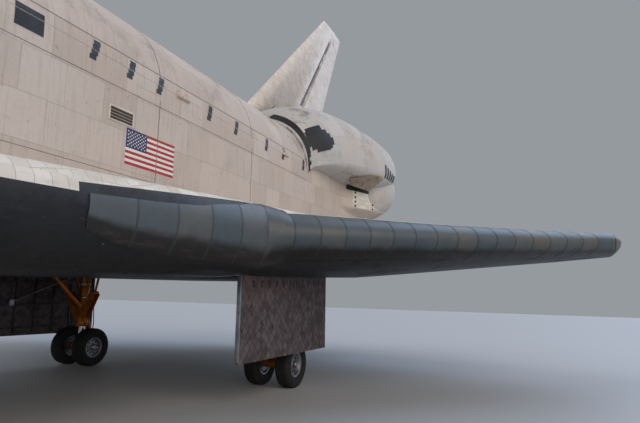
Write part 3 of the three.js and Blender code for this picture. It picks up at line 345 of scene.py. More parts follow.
def under_wing(tree, spot):
    """1 on the underside, on the wing's first tip, along its front's top and low on its inner side."""
    port, station, waterline = add(tree, SPLIT, {0: spot}).node.outputs
    port = add(tree, MATH, {0: port}, operation="ABSOLUTE")
    below = holds(tree, (rising(tree), "LESS_THAN", 0.12))
    line = add(tree, RANGE, {"Value": port, **FRONT_STRIP})
    ahead = holds(tree, (station, "LESS_THAN", line), (port, "GREATER_THAN", FRONT_STRIP[1]))
    # The dark band starts with a step at the first carbon panel and widens upward
    band = add(tree, RANGE, {"Value": station, **INNER_BAND})
    stepped = holds(tree, (station, "GREATER_THAN", FIRST_PANEL))
    level = add(tree, MIX, {0: stepped, 2: 304, 3: band})
    border = add(tree, MATH, {0: station, 1: 0.1582, 2: 23.1}, operation="MULTIPLY_ADD")
    low = holds(tree, (waterline, "LESS_THAN", level), (port, "GREATER_THAN", border),
                (station, "LESS_THAN", SWEPT_START))
    ahead = add(tree, MATH, {0: ahead, 1: low}, operation="MAXIMUM")
    # The fuselage's dark tiles run on over the wing's first tip
    tip = holds(tree, (station, "LESS_THAN", FIRST_TIP_END))
    tip = add(tree, MATH, {0: tip, 1: below_chine(tree, spot)}, operation="MULTIPLY")
    ahead = add(tree, MATH, {0: ahead, 1: tip}, operation="MAXIMUM")
    return add(tree, MATH, {0: below, 1: ahead}, operation="MAXIMUM")


def face_down(tree, spot):
    """1 on faces that look down."""
    return holds(tree, (rising(tree), "LESS_THAN", 0.05))


def carbon_panel(tree, spot):
    """Coated carbon: a smooth glassy grey with a blue or green cast, painted dark brown on its lower half as
    shade on the faces that look down.
    """
    shade = add(tree, "ShaderNodeAttribute", out="Fac", attribute_name="shade")
    under = add(tree, "ShaderNodeAttribute", out="Fac", attribute_name="under")
    cool = add(tree, MIX, {0: shade, 6: "#4E5B62", 7: "#6C665C"}, 2, data_type="RGBA")
    broad = add(tree, NOISE, {"Vector": spot, "Scale": 0.06, "Detail": 6, "Roughness": 0.65})
    colour = add(tree, MIX, {0: broad, 6: cool, 7: "#39444A"}, 2, data_type="RGBA")
    # The under attribute paints the lower half dark brown as painted shade, with a border made ragged by the
    # broad noise.
    ragged = add(tree, MATH, {0: broad, 1: 0.3, 2: under}, operation="MULTIPLY_ADD")
    lower = add(tree, RANGE, {"Value": ragged, 1: 0.48, 2: 0.84}, interpolation_type="SMOOTHSTEP")
    colour = add(tree, MIX, {0: lower, 6: colour, 7: "#1C1613"}, 2, data_type="RGBA")
    colour, _ = patches(tree, colour, spot, "#554A40", (1, 5, 0.7), (0.52, 0.74, 0.45), (0.3, 0.04, 0.3))
    speck = add(tree, NOISE, {"Vector": spot, "Scale": 0.9, "Detail": 3, "Roughness": 0.6})
    marks = add(tree, RANGE, {"Value": speck, 1: 0.62, 2: 0.8, 4: 0.5})
    colour = add(tree, MIX, {0: marks, 6: colour, 7: "#302D2B"}, 2, data_type="RGBA")
    rough = add(tree, RANGE, {"Value": speck, 1: 0.2, 2: 0.8, 3: 0.34, 4: 0.58})
    return colour, rough, speck


def worn_metal(name, colour, dull, rough, metallic=1.0, grain=2.0, streak=(1, 1, 1)):
    """Metal with handling marks: the tone wanders and the gloss breaks up."""
    material, tree = new_material(name)
    spot = add(tree, VECTOR, {0: body_spot(tree), 1: streak}, operation="MULTIPLY")
    shade, _ = patches(tree, colour, spot, dull, (0.12, 6, 0.65), (0.35, 0.7, 1))
    speck = add(tree, NOISE, {"Vector": spot, "Scale": grain, "Detail": 3})
    gloss = add(tree, RANGE, {"Value": speck, 1: 0.2, 2: 0.8, 3: rough - 0.08, 4: rough + 0.12})
    close_material(tree, shade, gloss, speck, 0.0008, Metallic=metallic)
    return material


def tyre_rubber(tree, spot):
    """Vulcanised rubber: matt charcoal, greyed with dust and scuffed round the tread."""
    colour, _ = patches(tree, "#101011", spot, "#2E2B29", (0.25, 6, 0.7), (0.45, 0.8, 0.6))
    grit = add(tree, NOISE, {"Vector": spot, "Scale": 3, "Detail": 3})
    rough = add(tree, RANGE, {"Value": grit, 1: 0.2, 2: 0.8, 3: 0.7, 4: 0.92})
    return colour, rough, grit


def window_glass(tree, spot):
    """Thick coated panes: nearly black from outside, with a clean gloss and a faint haze."""
    haze = add(tree, NOISE, {"Vector": spot, "Scale": 0.08, "Detail": 4})
    colour = add(tree, MIX, {0: haze, 6: "#0A0D10", 7: "#1C242B"}, 2, data_type="RGBA")
    rough = add(tree, RANGE, {"Value": haze, 1: 0.3, 2: 0.8, 3: 0.04, 4: 0.16})
    return colour, rough, None


def door_tile(tree, spot):
    """The gear doors' tiles: grey-mauve blocks set cornerwise, spotted dark, rusty along the top."""
    _, station, waterline = add(tree, SPLIT, {0: spot}).node.outputs
    colour, gap = add(tree, BRICK, {
        "Vector": cornerwise(tree, station, waterline),
        "Color1": "#655C60", "Color2": "#433C3F", "Mortar": "#1E1B1C", "Scale": 0.7071,
        "Mortar Size": 0.24, "Mortar Smooth": 0.5,
        "Brick Width": 6.2, "Row Height": 6.2,
    }, offset=0.0).node.outputs
    spots = add(tree, NOISE, {"Vector": spot, "Scale": 0.2, "Detail": 6, "Roughness": 0.75})
    dark = add(tree, RANGE, {"Value": spots, 1: 0.56, 2: 0.64, 4: 0.85})
    colour = add(tree, MIX, {0: dark, 6: colour, 7: "#1F1C1D"}, 2, data_type="RGBA")
    pale = add(tree, RANGE, {"Value": spots, 1: 0.42, 2: 0.3, 4: 0.5})
    colour = add(tree, MIX, {0: pale, 6: colour, 7: "#8D8383"}, 2, data_type="RGBA")
    rust = add(tree, RANGE, {"Value": waterline, 1: 236, 2: 280, 4: 0.85})
    fore = add(tree, RANGE, {"Value": station, 1: 1045, 2: 1200, 3: 1, 4: 0.45})
    ragged = add(tree, RANGE, {"Value": spots, 1: 0.35, 2: 0.6, 3: 0.35})
    rust = add(tree, MATH, {0: rust, 1: ragged}, operation="MULTIPLY")
    rust = add(tree, MATH, {0: rust, 1: fore}, operation="MULTIPLY")
    colour = add(tree, MIX, {0: rust, 6: colour, 7: "#553224"}, 2, data_type="RGBA")
    height = add(tree, MATH, {0: spots, 1: 0.5}, operation="MULTIPLY")
    height = add(tree, MATH, {0: height, 1: gap}, operation="SUBTRACT")
    rough = add(tree, RANGE, {"Value": spots, 1: 0.3, 2: 0.7, 3: 0.7, 4: 0.9})
    return colour, rough, height


def plain_cloth(name, pale, deep, grain=0.5, rough=0.85, scale=0.1):
    """Woven or painted cloth: matt, with a fine weave and uneven fading."""
    material, tree = new_material(name)
    spot = body_spot(tree)
    colour, _ = patches(tree, pale, spot, deep, (scale, 6, 0.7), (0.35, 0.7, 1))
    weave = add(tree, NOISE, {"Vector": spot, "Scale": grain, "Detail": 4})
    gloss = add(tree, RANGE, {"Value": weave, 1: 0.2, 2: 0.8, 3: rough - 0.08, 4: rough + 0.08})
    close_material(tree, colour, gloss, weave, 0.002)
    return material


def flag_paint(tree, spot):
    """Stripes and a blue corner painted on the felt, worn thin like it."""
    _, station, waterline = add(tree, SPLIT, {0: spot}).node.outputs
    low, high, front, rear = (FLAG[k] for k in ("low", "high", "front", "rear"))
    row = add(tree, RANGE, {"Value": waterline, 1: low, 2: high, 4: 13})
    even = add(tree, MATH, {0: row, 1: 2.0}, operation="MODULO")
    red = holds(tree, (even, "LESS_THAN", 1))
    colour = add(tree, MIX, {0: red, 6: "#E3DCD2", 7: "#A5262C"}, 2, data_type="RGBA")
    corner = holds(tree, (row, "GREATER_THAN", 6), (station, "LESS_THAN", front + 0.4 * (rear - front)))
    colour = add(tree, MIX, {0: corner, 6: colour, 7: "#26305E"}, 2, data_type="RGBA")
    wear = add(tree, NOISE, {"Vector": spot, "Scale": 0.5, "Detail": 6, "Roughness": 0.7})
    share = add(tree, RANGE, {"Value": wear, 1: 0.5, 2: 0.75, 4: 0.4})
    colour = add(tree, MIX, {0: share, 6: colour, 7: "#B9ADA0"}, 2, data_type="RGBA")
    rough = add(tree, RANGE, {"Value": wear, 1: 0.2, 2: 0.8, 3: 0.7, 4: 0.9})
    return colour, rough, wear


FLAG = {"front": 984, "rear": 1037.5, "low": 347, "high": 374.5}
FELT_AND_TILE = two_finishes("felt_over_dark_tile", felt_blanket, dark_tile, below_chine)
WING_FINISH = two_finishes("wing_white_and_dark_tile", white_tile, dark_tile, under_wing)
PANEL_FINISH = two_finishes("flap_white_and_dark_tile", white_tile, dark_tile, face_down)
FELT = one_finish("felt_blanket", felt_blanket)
# The pods' felt is greyer and cooler than the rest of the felt: painted cool light, which reaches the pods
# from behind.
POD_FELT_PAINTED_COOL_LIGHT = one_finish("pod_blanket_painted_cool_light", felt_blanket, "#CACBC9", "#BABCBB")
DARK_TILE = one_finish("dark_silica_tile", dark_tile)
WHITE_TILE = one_finish("white_silica_tile", white_tile)
CARBON = one_finish("coated_carbon_panel", carbon_panel, depth=0.0015)
RUBBER = one_finish("tyre_rubber", tyre_rubber, depth=0.001)
GLASS = one_finish("coated_window_glass", window_glass, IOR=1.46, Coat_Weight=0.6)
DOOR_TILE = one_finish("gear_door_tile", door_tile)
NOZZLE_METAL = worn_metal("heat_tinted_nozzle_steel", "#8D8378", "#5A4E46", 0.38)
BELL_INSIDE = worn_metal("brazed_bell_lining", "#B9B2A8", "#8B7F70", 0.42, streak=(1, 0.2, 1))
BARE_METAL = worn_metal("bare_aluminium", "#B9BBBC", "#8E9092", 0.35)
DARK_METAL = worn_metal("dark_structure_metal", "#5B5D5F", "#3B3C3E", 0.5)
BROWN_METAL = worn_metal("heat_browned_metal", "#5A4538", "#33271F", 0.55, 0.6)
GOLD_STRUT = worn_metal("gold_lacquered_strut", "#C8752F", "#8A4C22", 0.42, 0.6)
CHROME = worn_metal("chromed_piston", "#D8DADB", "#B5B8BA", 0.12)
WHEEL_METAL = worn_metal("cast_wheel_aluminium", "#A6A9AB", "#7A7C7E", 0.42)
RADIATOR = worn_metal("silvered_radiator_sheet", "#BFC3C6", "#A2A6A9", 0.34, streak=(1, 0.1, 1))
SEAM = plain_cloth("sewn_seam", "#857B70", "#5E564E", grain=1.5)
FLAG_PAINT = one_finish("striped_flag_paint", flag_paint, depth=0.002)
STAR_WHITE = plain_cloth("white_paint", "#E4DED4", "#CFC6BA", rough=0.8)
BAY_CLOTH = plain_cloth("bay_lining_cloth", "#CFCBC2", "#B3AEA3", grain=0.8, scale=0.05)
SEAL = plain_cloth("carbon_seal", "#4B5152", "#363A3A", rough=0.55)
FIN_TILE = one_finish("fin_tile", white_tile, "#E6DED6", "#D9D0C7", "#A89C91")
GREY_FELT = plain_cloth("grey_engine_felt", "#A9A59C", "#7F7A72", grain=0.6)
BROWN_FELT = plain_cloth("scorched_pod_felt", "#A39483", "#6E6052", grain=0.6, scale=0.06)


# Shapes: everything below is made in the vehicle's own inches
def curve(table, column, at):
    """A smooth curve through one column of a table that never overshoots its rows."""
    x, y = table[:, 0], table[:, column]
    step = np.diff(x)
    slope = np.diff(y) / step
    tangent = np.zeros(len(x))
    product = slope[:-1] * slope[1:]
    same = product > 0
    tangent[1:-1][same] = 2 * product[same] / (slope[:-1] + slope[1:])[same]
    tangent[0], tangent[-1] = slope[0], slope[-1]
    i = np.clip(np.searchsorted(x, at) - 1, 0, len(x) - 2)
    t = np.clip((at - x[i]) / step[i], 0, 1)
    return (
        (2 * t**3 - 3 * t**2 + 1) * y[i]
        + (t**3 - 2 * t**2 + t) * step[i] * tangent[i]
        + (3 * t**2 - 2 * t**3) * y[i + 1]
        + (t**3 - t**2) * step[i] * tangent[i + 1]
    )


def hull_section(station):
    """Centre, half widths and roundness of the fuselage's section."""
    half, bottom, top, widest, low, high = (curve(HULL, k, station) for k in range(1, 7))
    return 0 * half, widest, half, top - widest, widest - bottom, high, low


def pod_section(station):
    """The same for the left engine pod."""
    port, waterline, half, above, below = (curve(PODS, k, station) for k in range(1, 6))
    power = POD_ROUNDNESS + 0 * half
    return port, waterline, half, above, below, power, power


def share_out(section, spots):
    """1 on the skin and less inside it, with the centre of each spot's section."""
    port, waterline, half, above, below, high, low = section(spots[:, 1])
    rise = spots[:, 2] - waterline
    power = np.where(rise > 0, high, low)
    u = np.abs((spots[:, 0] - port) / half)
    v = np.abs(rise / np.where(rise > 0, above, below))
    centre = np.stack([port, spots[:, 1], waterline], 1)
    return (u**power + v**power) ** (1 / power), centre


def outward(section, spots):
    """The skin's own normals near the spots."""
    tiny = 0.05
    slopes = []
    for k in range(3):
        step = np.zeros(3)
        step[k] = tiny
        ahead, behind = share_out(section, spots + step)[0], share_out(section, spots - step)[0]
        slopes.append(ahead - behind)
    normal = np.stack(slopes, 1)
    return normal / np.linalg.norm(normal, axis=1)[:, None]


def on_side(side):
    """Spots on the fuselage by station and waterline, lifted off its skin."""
    def spot(station, waterline, lift):
        _, widest, half, above, below, high, low = hull_section(station)
        rise = waterline - widest
        power = np.where(rise > 0, high, low)
        v = np.abs(rise / np.where(rise > 0, above, below))
        across = half * np.maximum(1 - v**power, 1e-6) ** (1 / power)
        spots = np.stack([across, station, waterline], 1)
        return (spots + lift * outward(hull_section, spots)) * (side, 1, 1)
    return spot


def on_round(section, side):
    """Spots on a round skin by station and degrees up from its widest line."""
    def spot(station, degrees, lift):
        port, waterline, half, above, below, high, low = section(station)
        angle = np.radians(degrees)
        power = np.where(angle > 0, high, low)
        across = half * np.sign(np.cos(angle)) * np.abs(np.cos(angle)) ** (2 / power)
        height = np.where(angle > 0, above, below)
        rise = height * np.sign(np.sin(angle)) * np.abs(np.sin(angle)) ** (2 / power)
        spots = np.stack([port + across, station, waterline + rise], 1)
        return (spots + lift * outward(section, spots)) * (side, 1, 1)
    return spot


def wing_half(port):
    """The wing table's values at a port."""
    return [np.interp(port, WING[:, 0], WING[:, k]) for k in range(1, 5)]


def section_curve(share):
    """Half thickness of the wing's section by share of the chord, 0.5 where thickest."""
    rest = -0.126 * share - 0.3516 * share**2 + 0.2843 * share**3 - 0.1015 * share**4
    return 5 * (0.2969 * np.sqrt(share) + rest)


def wing_spot(port, station, upper):
    """Waterline of the wing's top or bottom at a port and station."""
    edge, height, thick, _ = wing_half(port)
    share = np.clip((station - edge) / (WING_HINGE - edge), 0, 1)
    hinge = 284 + 0.062 * (port - 105)
    radius = 10.5 - 0.0124 * (port - 105)
    middle = height + share * (hinge - height)
    half = section_curve(0.77 * share) * thick + share * (radius - section_curve(0.77) * thick)
    return middle + upper * half


def lifted(bare, side, facing):
    """Spots lifted off bare ones along their normals, which facing says the outward sense of."""
    def spot(u, v, lift):
        along = bare(u + 0.5, v) - bare(u - 0.5, v)
        round_it = bare(u, np.minimum(v + 0.01, 1)) - bare(u, np.maximum(v - 0.01, -1))
        normal = np.cross(along, round_it)
        normal /= np.linalg.norm(normal, axis=1)[:, None]
        normal *= np.where(facing(normal, v) < 0, -1, 1)[:, None]
        return (bare(u, v) + lift * normal) * (side, 1, 1)
    return spot


def on_edge(side):
    """Spots on the carbon leading edge: v runs from -1 below, round the front at 0, to 1 above."""
    def bare(port, v):
        edge = np.interp(port, WING[:, 0], WING[:, 1])
        back = np.interp(port, EDGE_LINE[:, 0], EDGE_LINE[:, 1]) - 0.02
        station = edge + (back - edge) * v**2
        return np.stack([port, station, wing_spot(port, station, np.sign(v))], 1)

    def facing(normal, v):
        return np.where(np.abs(v) > 0.3, normal[:, 2] * np.sign(v), -normal[:, 1])
    return lifted(bare, side, facing)


# The front edge from the first carbon panel to near the tip, as port and station, and the plan
# direction the panels run back in
EDGE_ENDS = np.array([[np.interp(894, WING[:, 1], WING[:, 0]), 894], [199, 1035], [458, 1294]])
EDGE_RUNS = np.concatenate([[0], np.cumsum(np.linalg.norm(np.diff(EDGE_ENDS, axis=0), axis=1))])
TOP_DEPTH = np.array([[0, 0.5], [44, 0.85], [77, 1.5], [120, 5], [143, 12], [158, 18.5],
                      [176, 21.5], [215, 19], [270, 17], [600, 17]])
LOW_DEPTH = np.array([[0, 2.1], [20, 5], [50, 8], [120, 10], [143, 13], [165, 18.5], [176, 20],
                      [215, 19], [270, 17], [600, 17]])


def square_to_edge(side):
    """Spots on the carbon leading edge by run along it and v, in strips square to the edge."""
    def bare(run, v):
        start = np.stack([np.interp(run, EDGE_RUNS, EDGE_ENDS[:, k]) for k in (0, 1)], 1)
        share = np.clip((run - EDGE_RUNS[1] + 30) / 60, 0, 1)
        turn = np.radians(171 - 36 * share * share * (3 - 2 * share))
        full = np.where(v > 0, np.interp(run, *TOP_DEPTH.T), np.interp(run, *LOW_DEPTH.T))
        ahead = np.stack([np.cos(turn), np.sin(turn)], 1)
        port, station = (start + ahead * (full * v**2)[:, None]).T
        back_port, back_station = (start + ahead * full[:, None]).T
        height = wing_spot(port, station, np.sign(v))
        # The bend where the inner front meets the swept wing is filled out to a smooth round
        middle = wing_spot(port, station, 0)
        rounded = np.abs(wing_spot(back_port, back_station, 1) - wing_spot(back_port, back_station, 0))
        rounded = rounded * np.abs(v) * (1.12 - 0.12 * np.abs(v))
        near = np.clip(1 - np.abs(run - EDGE_RUNS[1] - 8) / 50, 0, 1)
        half = np.abs(height - middle)
        half = half + near * near * (3 - 2 * near) * np.maximum(rounded - half, 0)
        return np.stack([port, station, middle + np.sign(v) * half], 1)

    def facing(normal, v):
        return normal @ np.array((0.5, -0.85, 0)) + normal[:, 2] * np.sign(v) * 2 * np.abs(v)
    return lifted(bare, side, facing)


def span(middle, half):
    """Both ends of a length round its middle."""
    return [middle - half, middle + half]


def plate(shape, spot, us, vs, keep=None, low=-0.3, high=0.3):
    """A raised plate laid on a skin, of the grid cells that keep allows; gives its outer spots."""
    us, vs = np.asarray(us, float), np.asarray(vs, float)
    wide, tall = np.meshgrid(us, vs, indexing="ij")
    layers = []
    for lift in (high, low):
        spots = spot(wide.ravel(), tall.ravel(), lift)
        layers.append([shape.verts.new(p) for p in spots])
    row = len(vs)
    kept = {
        (i, j) for i in range(len(us) - 1) for j in range(row - 1) if keep is None or keep(i, j)
    }
    for i, j in kept:
        corners = [i * row + j, (i + 1) * row + j, (i + 1) * row + j + 1, i * row + j + 1]
        shape.faces.new([layers[0][c] for c in corners])
        shape.faces.new([layers[1][c] for c in reversed(corners)])
        around = [(i, j - 1), (i + 1, j), (i, j + 1), (i - 1, j)]
        for k, neighbour in enumerate(around):
            if neighbour not in kept:
                a, b = corners[k], corners[(k + 1) % 4]
                shape.faces.new([layers[0][b], layers[0][a], layers[1][a], layers[1][b]])
    loose = [v for layer in layers for v in layer if not v.link_faces]
    bmesh.ops.delete(shape, geom=loose, context="VERTS")
    return layers[0] if keep is None else None


def lathe(shape, profile, sides, place, closed=True):
    """Turns a profile of radius and distance about the local Z axis."""
    rings = []
    for radius, along in profile:
        count = sides if radius > 0 else 1
        turns = [2 * math.pi * i / sides for i in range(count)]
        rings.append([
            shape.verts.new(place @ Vector((radius * math.cos(t), radius * math.sin(t), along)))
            for t in turns
        ])
    pairs = list(zip(rings, rings[1:]))
    if closed:
        pairs.append((rings[-1], rings[0]))
    for a, b in pairs:
        if len(a) == len(b) == 1:
            continue
        for i in range(sides):
            j = (i + 1) % sides
            corners = [a[i % len(a)], a[j % len(a)], b[j % len(b)], b[i % len(b)]]
            shape.faces.new(list(dict.fromkeys(corners)))


def tube(shape, points, radius, sides=8):
    """A round tube along points, closed at both ends."""
    points = [Vector(p) for p in points]
    rings, side = [], None
    for i, point in enumerate(points):
        ahead = points[min(i + 1, len(points) - 1)] - points[max(i - 1, 0)]
        ahead.normalize()
        if side is None:
            side = ahead.orthogonal()
        side = (side - ahead * side.dot(ahead)).normalized()
        other = ahead.cross(side)
        size = radius[i] if isinstance(radius, (list, tuple)) else radius
        rings.append([
            shape.verts.new(point + size * (side * math.cos(t) + other * math.sin(t)))
            for t in (2 * math.pi * k / sides for k in range(sides))
        ])
    for a, b in zip(rings, rings[1:]):
        for i in range(sides):
            j = (i + 1) % sides
            shape.faces.new([a[i], a[j], b[j], b[i]])
    shape.faces.new(list(reversed(rings[0])))
    shape.faces.new(rings[-1])


def block(shape, low, high, place=None, chamfer=0.0):
    """A box between two corners with its edges taken off."""
    low, high = Vector(low), Vector(high)
    size = high - low
    matrix = Matrix.Translation((low + high) / 2) @ Matrix.Diagonal((*size, 1))
    made = bmesh.ops.create_cube(shape, size=1, matrix=(place or Matrix.Identity(4)) @ matrix)
    if chamfer:
        edges = list(dict.fromkeys(e for v in made["verts"] for e in v.link_edges))
        bmesh.ops.bevel(shape, geom=edges, offset=chamfer, segments=2, affect="EDGES", profile=0.5)


def aimed(spot, along, side=(0, 0, 1)):
    """A placing matrix with its Z axis along a direction."""
    z = Vector(along).normalized()
    x = Vector(side) - z * z.dot(Vector(side))
    x = (x if x.length > 1e-4 else z.orthogonal()).normalized()
    turn = Matrix((x, z.cross(x), z)).transposed().to_4x4()
    return Matrix.Translation(spot) @ turn


def finish(name, shape, materials, body="airframe", replaced=(), smooth=32, turned=True):
    """Makes a piece of the object from a shape in the vehicle's inches."""
    if turned:
        bmesh.ops.recalc_face_normals(shape, faces=shape.faces)
    shape.transform(TO_ROW)
    mesh = bpy.data.meshes.new(name)
    shape.to_mesh(mesh)
    shape.free()
    for material in materials:
        mesh.materials.append(material)
    mesh.polygons.foreach_set("use_smooth", [True] * len(mesh.polygons))
    mesh.set_sharp_from_angle(angle=math.radians(smooth))
    piece = bpy.data.objects.new(name, mesh)
    bpy.context.collection.objects.link(piece)
    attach(piece, body)
    if replaced:
        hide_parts(*replaced)
    return piece


def split_long(shape, longest):
    """Cuts edges until none is longer, and keeps all faces triangles."""
    for _ in range(10):
        edges = [e for e in shape.edges if e.calc_length() > longest]
        if not edges:
            break
        bmesh.ops.subdivide_edges(shape, edges=edges, cuts=1)
        corners = [f for f in shape.faces if len(f.verts) > 3]
        bmesh.ops.triangulate(shape, faces=corners)


def skin(node, name, body, materials, section=None, reach=1.6, longest=12, second=None):
    """A finely cut copy of a CAD node, its outer faces laid on the smooth skin it was cut from."""
    shape = bmesh.new()
    shape.from_mesh(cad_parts[node].data)
    shape.transform(TO_BODY)
    bmesh.ops.remove_doubles(shape, verts=shape.verts, dist=0.002)
    bmesh.ops.dissolve_limit(
        shape, angle_limit=math.radians(0.3), verts=shape.verts, edges=shape.edges
    )
    bmesh.ops.triangulate(shape, faces=shape.faces)
    near = None
    if section:
        side = -1 if node.endswith("_right") and section is pod_section else 1
        mirror = np.array((side, 1, 1))
        split_long(shape, longest)
        spots = np.array([v.co for v in shape.verts]) * mirror
        share, centre = share_out(section, spots)
        share = np.maximum(share, 1e-3)[:, None]
        laid = centre + (spots - centre) / share
        near = np.linalg.norm(laid - spots, axis=1) < reach
        spots[near] = laid[near]
        normals = outward(section, spots) * mirror
        spots *= mirror
        for vertex, spot in zip(shape.verts, spots):
            vertex.co = spot
    if second:
        for face in shape.faces:
            face.material_index = int(second(face.calc_center_median(), face.normal))
    piece = finish(name, shape, materials, body, (node,), turned=False)
    if near is not None:
        mesh = piece.data
        turn = np.array(Matrix.Rotation(PITCH, 3, "X"))
        normals = normals @ turn.T
        corner = np.zeros(len(mesh.loops) * 3)
        mesh.corner_normals.foreach_get("vector", corner)
        corner = corner.reshape(-1, 3)
        where = np.zeros(len(mesh.loops), int)
        mesh.loops.foreach_get("vertex_index", where)
        flat = np.zeros(len(mesh.polygons) * 3)
        mesh.polygons.foreach_get("normal", flat)
        flat = np.repeat(flat.reshape(-1, 3), 3, axis=0)
        wanted = normals[where]
        use = near[where] & ((flat * wanted).sum(1) > 0.7)
        corner[use] = wanted[use]
        mesh.normals_split_custom_set(corner.tolist())
    return piece


def in_bay(spot, normal):
    """True on the payload bay's walls."""
    radius = math.hypot(spot.x, spot.z - BAY_CENTRE)
    return BAY_FRONT - 3 < spot.y < BAY_REAR + 3 and radius < BAY_RADIUS + 1.5 and spot.z < SILL + 1


def inside_door(spot, normal):
    """True on faces that look at the payload bay's middle."""
    return normal.x * spot.x + normal.z * (spot.z - BAY_CENTRE) < -20


def at_bulkhead(spot, normal):
    """True on the walls at both ends of the payload bay."""
    return abs(normal.y) > 0.95 and BAY_FRONT - 8 < spot.y < BAY_REAR + 8


def fuselage():
    """The fuselage's skins, the bay doors and the pods, each with what shows inside it."""
    for node, inner, chosen, longest in (
        ("forward_fuselage", BAY_CLOTH, at_bulkhead, 9), ("mid_fuselage", WHITE_TILE, in_bay, 14),
        ("aft_fuselage", BAY_CLOTH, at_bulkhead, 12),
    ):
        skin(node, f"{node}_skin", "airframe", [FELT_AND_TILE, inner], hull_section,
             longest=longest, second=chosen)
    skin("nose_cap", "nose_cap_shell", "airframe", [CARBON], hull_section, longest=5)
    skin("crew_hatch", "crew_hatch_skin", "crew_hatch", [FELT], hull_section, longest=6)
    for _, word in SIDES:
        skin(f"payload_bay_door_{word}", f"payload_bay_door_skin_{word}", f"payload_bay_door_{word}",
             [FELT, BARE_METAL], hull_section, longest=14, second=inside_door)
        # The pods' felt carries painted cool light.
        skin(f"orbital_pod_{word}", f"orbital_pod_skin_{word}", "airframe", [POD_FELT_PAINTED_COOL_LIGHT],
             pod_section, longest=9)


INT, FLOAT, FINISH = "NodeSocketInt", "NodeSocketFloat", "NodeSocketMaterial"


def new_tree(name, inputs):
    """A geometry tree with named inputs, the last of them its material."""
    tree = bpy.data.node_groups.new(name, "GeometryNodeTree")
    for label, kind in {**inputs, "Material": FINISH}.items():
        tree.interface.new_socket(label, in_out="INPUT", socket_type=kind)
    tree.interface.new_socket("Geometry", in_out="OUTPUT", socket_type="NodeSocketGeometry")
    return tree, tree.nodes.new("NodeGroupInput").outputs


def close_tree(tree, geometry, given):
    """Makes the copies real and gives them the material."""
    whole = add(tree, "GeometryNodeRealizeInstances", {0: geometry})
    dressed = add(tree, "GeometryNodeSetMaterial", {"Geometry": whole, "Material": given["Material"]})
    add(tree, "NodeGroupOutput", {"Geometry": dressed})
    return tree


def studs_tree(name, pattern, sizes, sides):
    """Round studs standing on each point of a pattern, whose sockets take the named sizes."""
    inputs = {size: INT if socket.startswith("Vertices") else FLOAT for size, socket in sizes.items()}
    tree, given = new_tree(name, {**inputs, "Stud Radius": FLOAT, "Stud Height": FLOAT})
    points = add(tree, pattern, {socket: given[size] for size, socket in sizes.items()})
    stud = add(tree, "GeometryNodeMeshCylinder", {
        "Vertices": sides, "Radius": given["Stud Radius"], "Depth": given["Stud Height"],
    })
    placed = add(tree, "GeometryNodeInstanceOnPoints", {"Points": points, "Instance": stud})
    return close_tree(tree, placed, given)


def bell_tree():
    """Cooling tubes laid side by side round a bell, from throat to lip."""
    tree, given = new_tree("tubes_round_bell", {
        "Count": INT, "Throat Radius": FLOAT, "Exit Radius": FLOAT, "Length": FLOAT, "Tube Radius": FLOAT,
    })
    steps = 12
    line = add(tree, "GeometryNodeMeshLine", {"Count": steps, "Offset": (0, 0, 1)})
    place = add(tree, "GeometryNodeInputIndex")
    share = add(tree, MATH, {0: place, 1: steps - 1}, operation="DIVIDE")
    flare = add(tree, MATH, {0: share, 1: BELL_FLARE}, operation="POWER")
    wider = add(tree, MATH, {0: given["Exit Radius"], 1: given["Throat Radius"]}, operation="SUBTRACT")
    radius = add(tree, MATH, {0: flare, 1: wider, 2: given["Throat Radius"]}, operation="MULTIPLY_ADD")
    along = add(tree, MATH, {0: share, 1: given["Length"]}, operation="MULTIPLY")
    spot = add(tree, JOIN, {0: radius, 1: 0.0, 2: along})
    bent = add(tree, "GeometryNodeSetPosition", {"Geometry": line, "Position": spot})
    path = add(tree, "GeometryNodeMeshToCurve", {0: bent})
    edge = add(tree, "GeometryNodeCurvePrimitiveCircle", {"Resolution": 5, "Radius": given["Tube Radius"]})
    one = add(tree, "GeometryNodeCurveToMesh", {"Curve": path, "Profile Curve": edge, "Fill Caps": True})
    points = add(tree, "GeometryNodePoints", {"Count": given["Count"]})
    whole = add(tree, MATH, {0: add(tree, "GeometryNodeInputIndex"), 1: math.tau}, operation="MULTIPLY")
    turn = add(tree, MATH, {0: whole, 1: given["Count"]}, operation="DIVIDE")
    turn = add(tree, JOIN, {0: 0.0, 1: 0.0, 2: turn})
    placed = add(tree, "GeometryNodeInstanceOnPoints", {"Points": points, "Instance": one, "Rotation": turn})
    return close_tree(tree, placed, given)


BELL_FLARE = 0.62
BELL_TUBES = bell_tree()
RING = studs_tree("studs_in_ring", "GeometryNodeMeshCircle", {
    "Count": "Vertices", "Ring Radius": "Radius",
}, 10)
ROWS = studs_tree("studs_in_rows", "GeometryNodeMeshGrid", {
    "Columns": "Vertices X", "Rows": "Vertices Y", "Width": "Size X", "Height": "Size Y",
}, 6)


def grow(shape, tree, place, values, index=0):
    """Runs a geometry tree, sets what it makes in place and adds it to a shape."""
    holder = bpy.data.objects.new("holder", bpy.data.meshes.new("holder"))
    bpy.context.collection.objects.link(holder)
    modifier = holder.modifiers.new("made", "NODES")
    modifier.node_group = tree
    for item in tree.interface.items_tree:
        if item.in_out == "INPUT" and item.name in values:
            modifier[item.identifier] = values[item.name]
    ready = holder.evaluated_get(bpy.context.evaluated_depsgraph_get())
    mesh = bpy.data.meshes.new_from_object(ready)
    mesh.transform(place)
    mesh.polygons.foreach_set("material_index", [index] * len(mesh.polygons))
    shape.from_mesh(mesh)
    bpy.data.objects.remove(holder)


def faces_since(shape, before, index):
    """Gives the faces made since before a finish."""
    for face in shape.faces:
        if face not in before:
            face.material_index = index


# Stations of the dark tile pairs that cover the door hinges
HINGE_PATCHES = [630, 676, 722, 768, 814, 860, 950, 984, 1016, 1084, 1130, 1194, 1236, 1295]
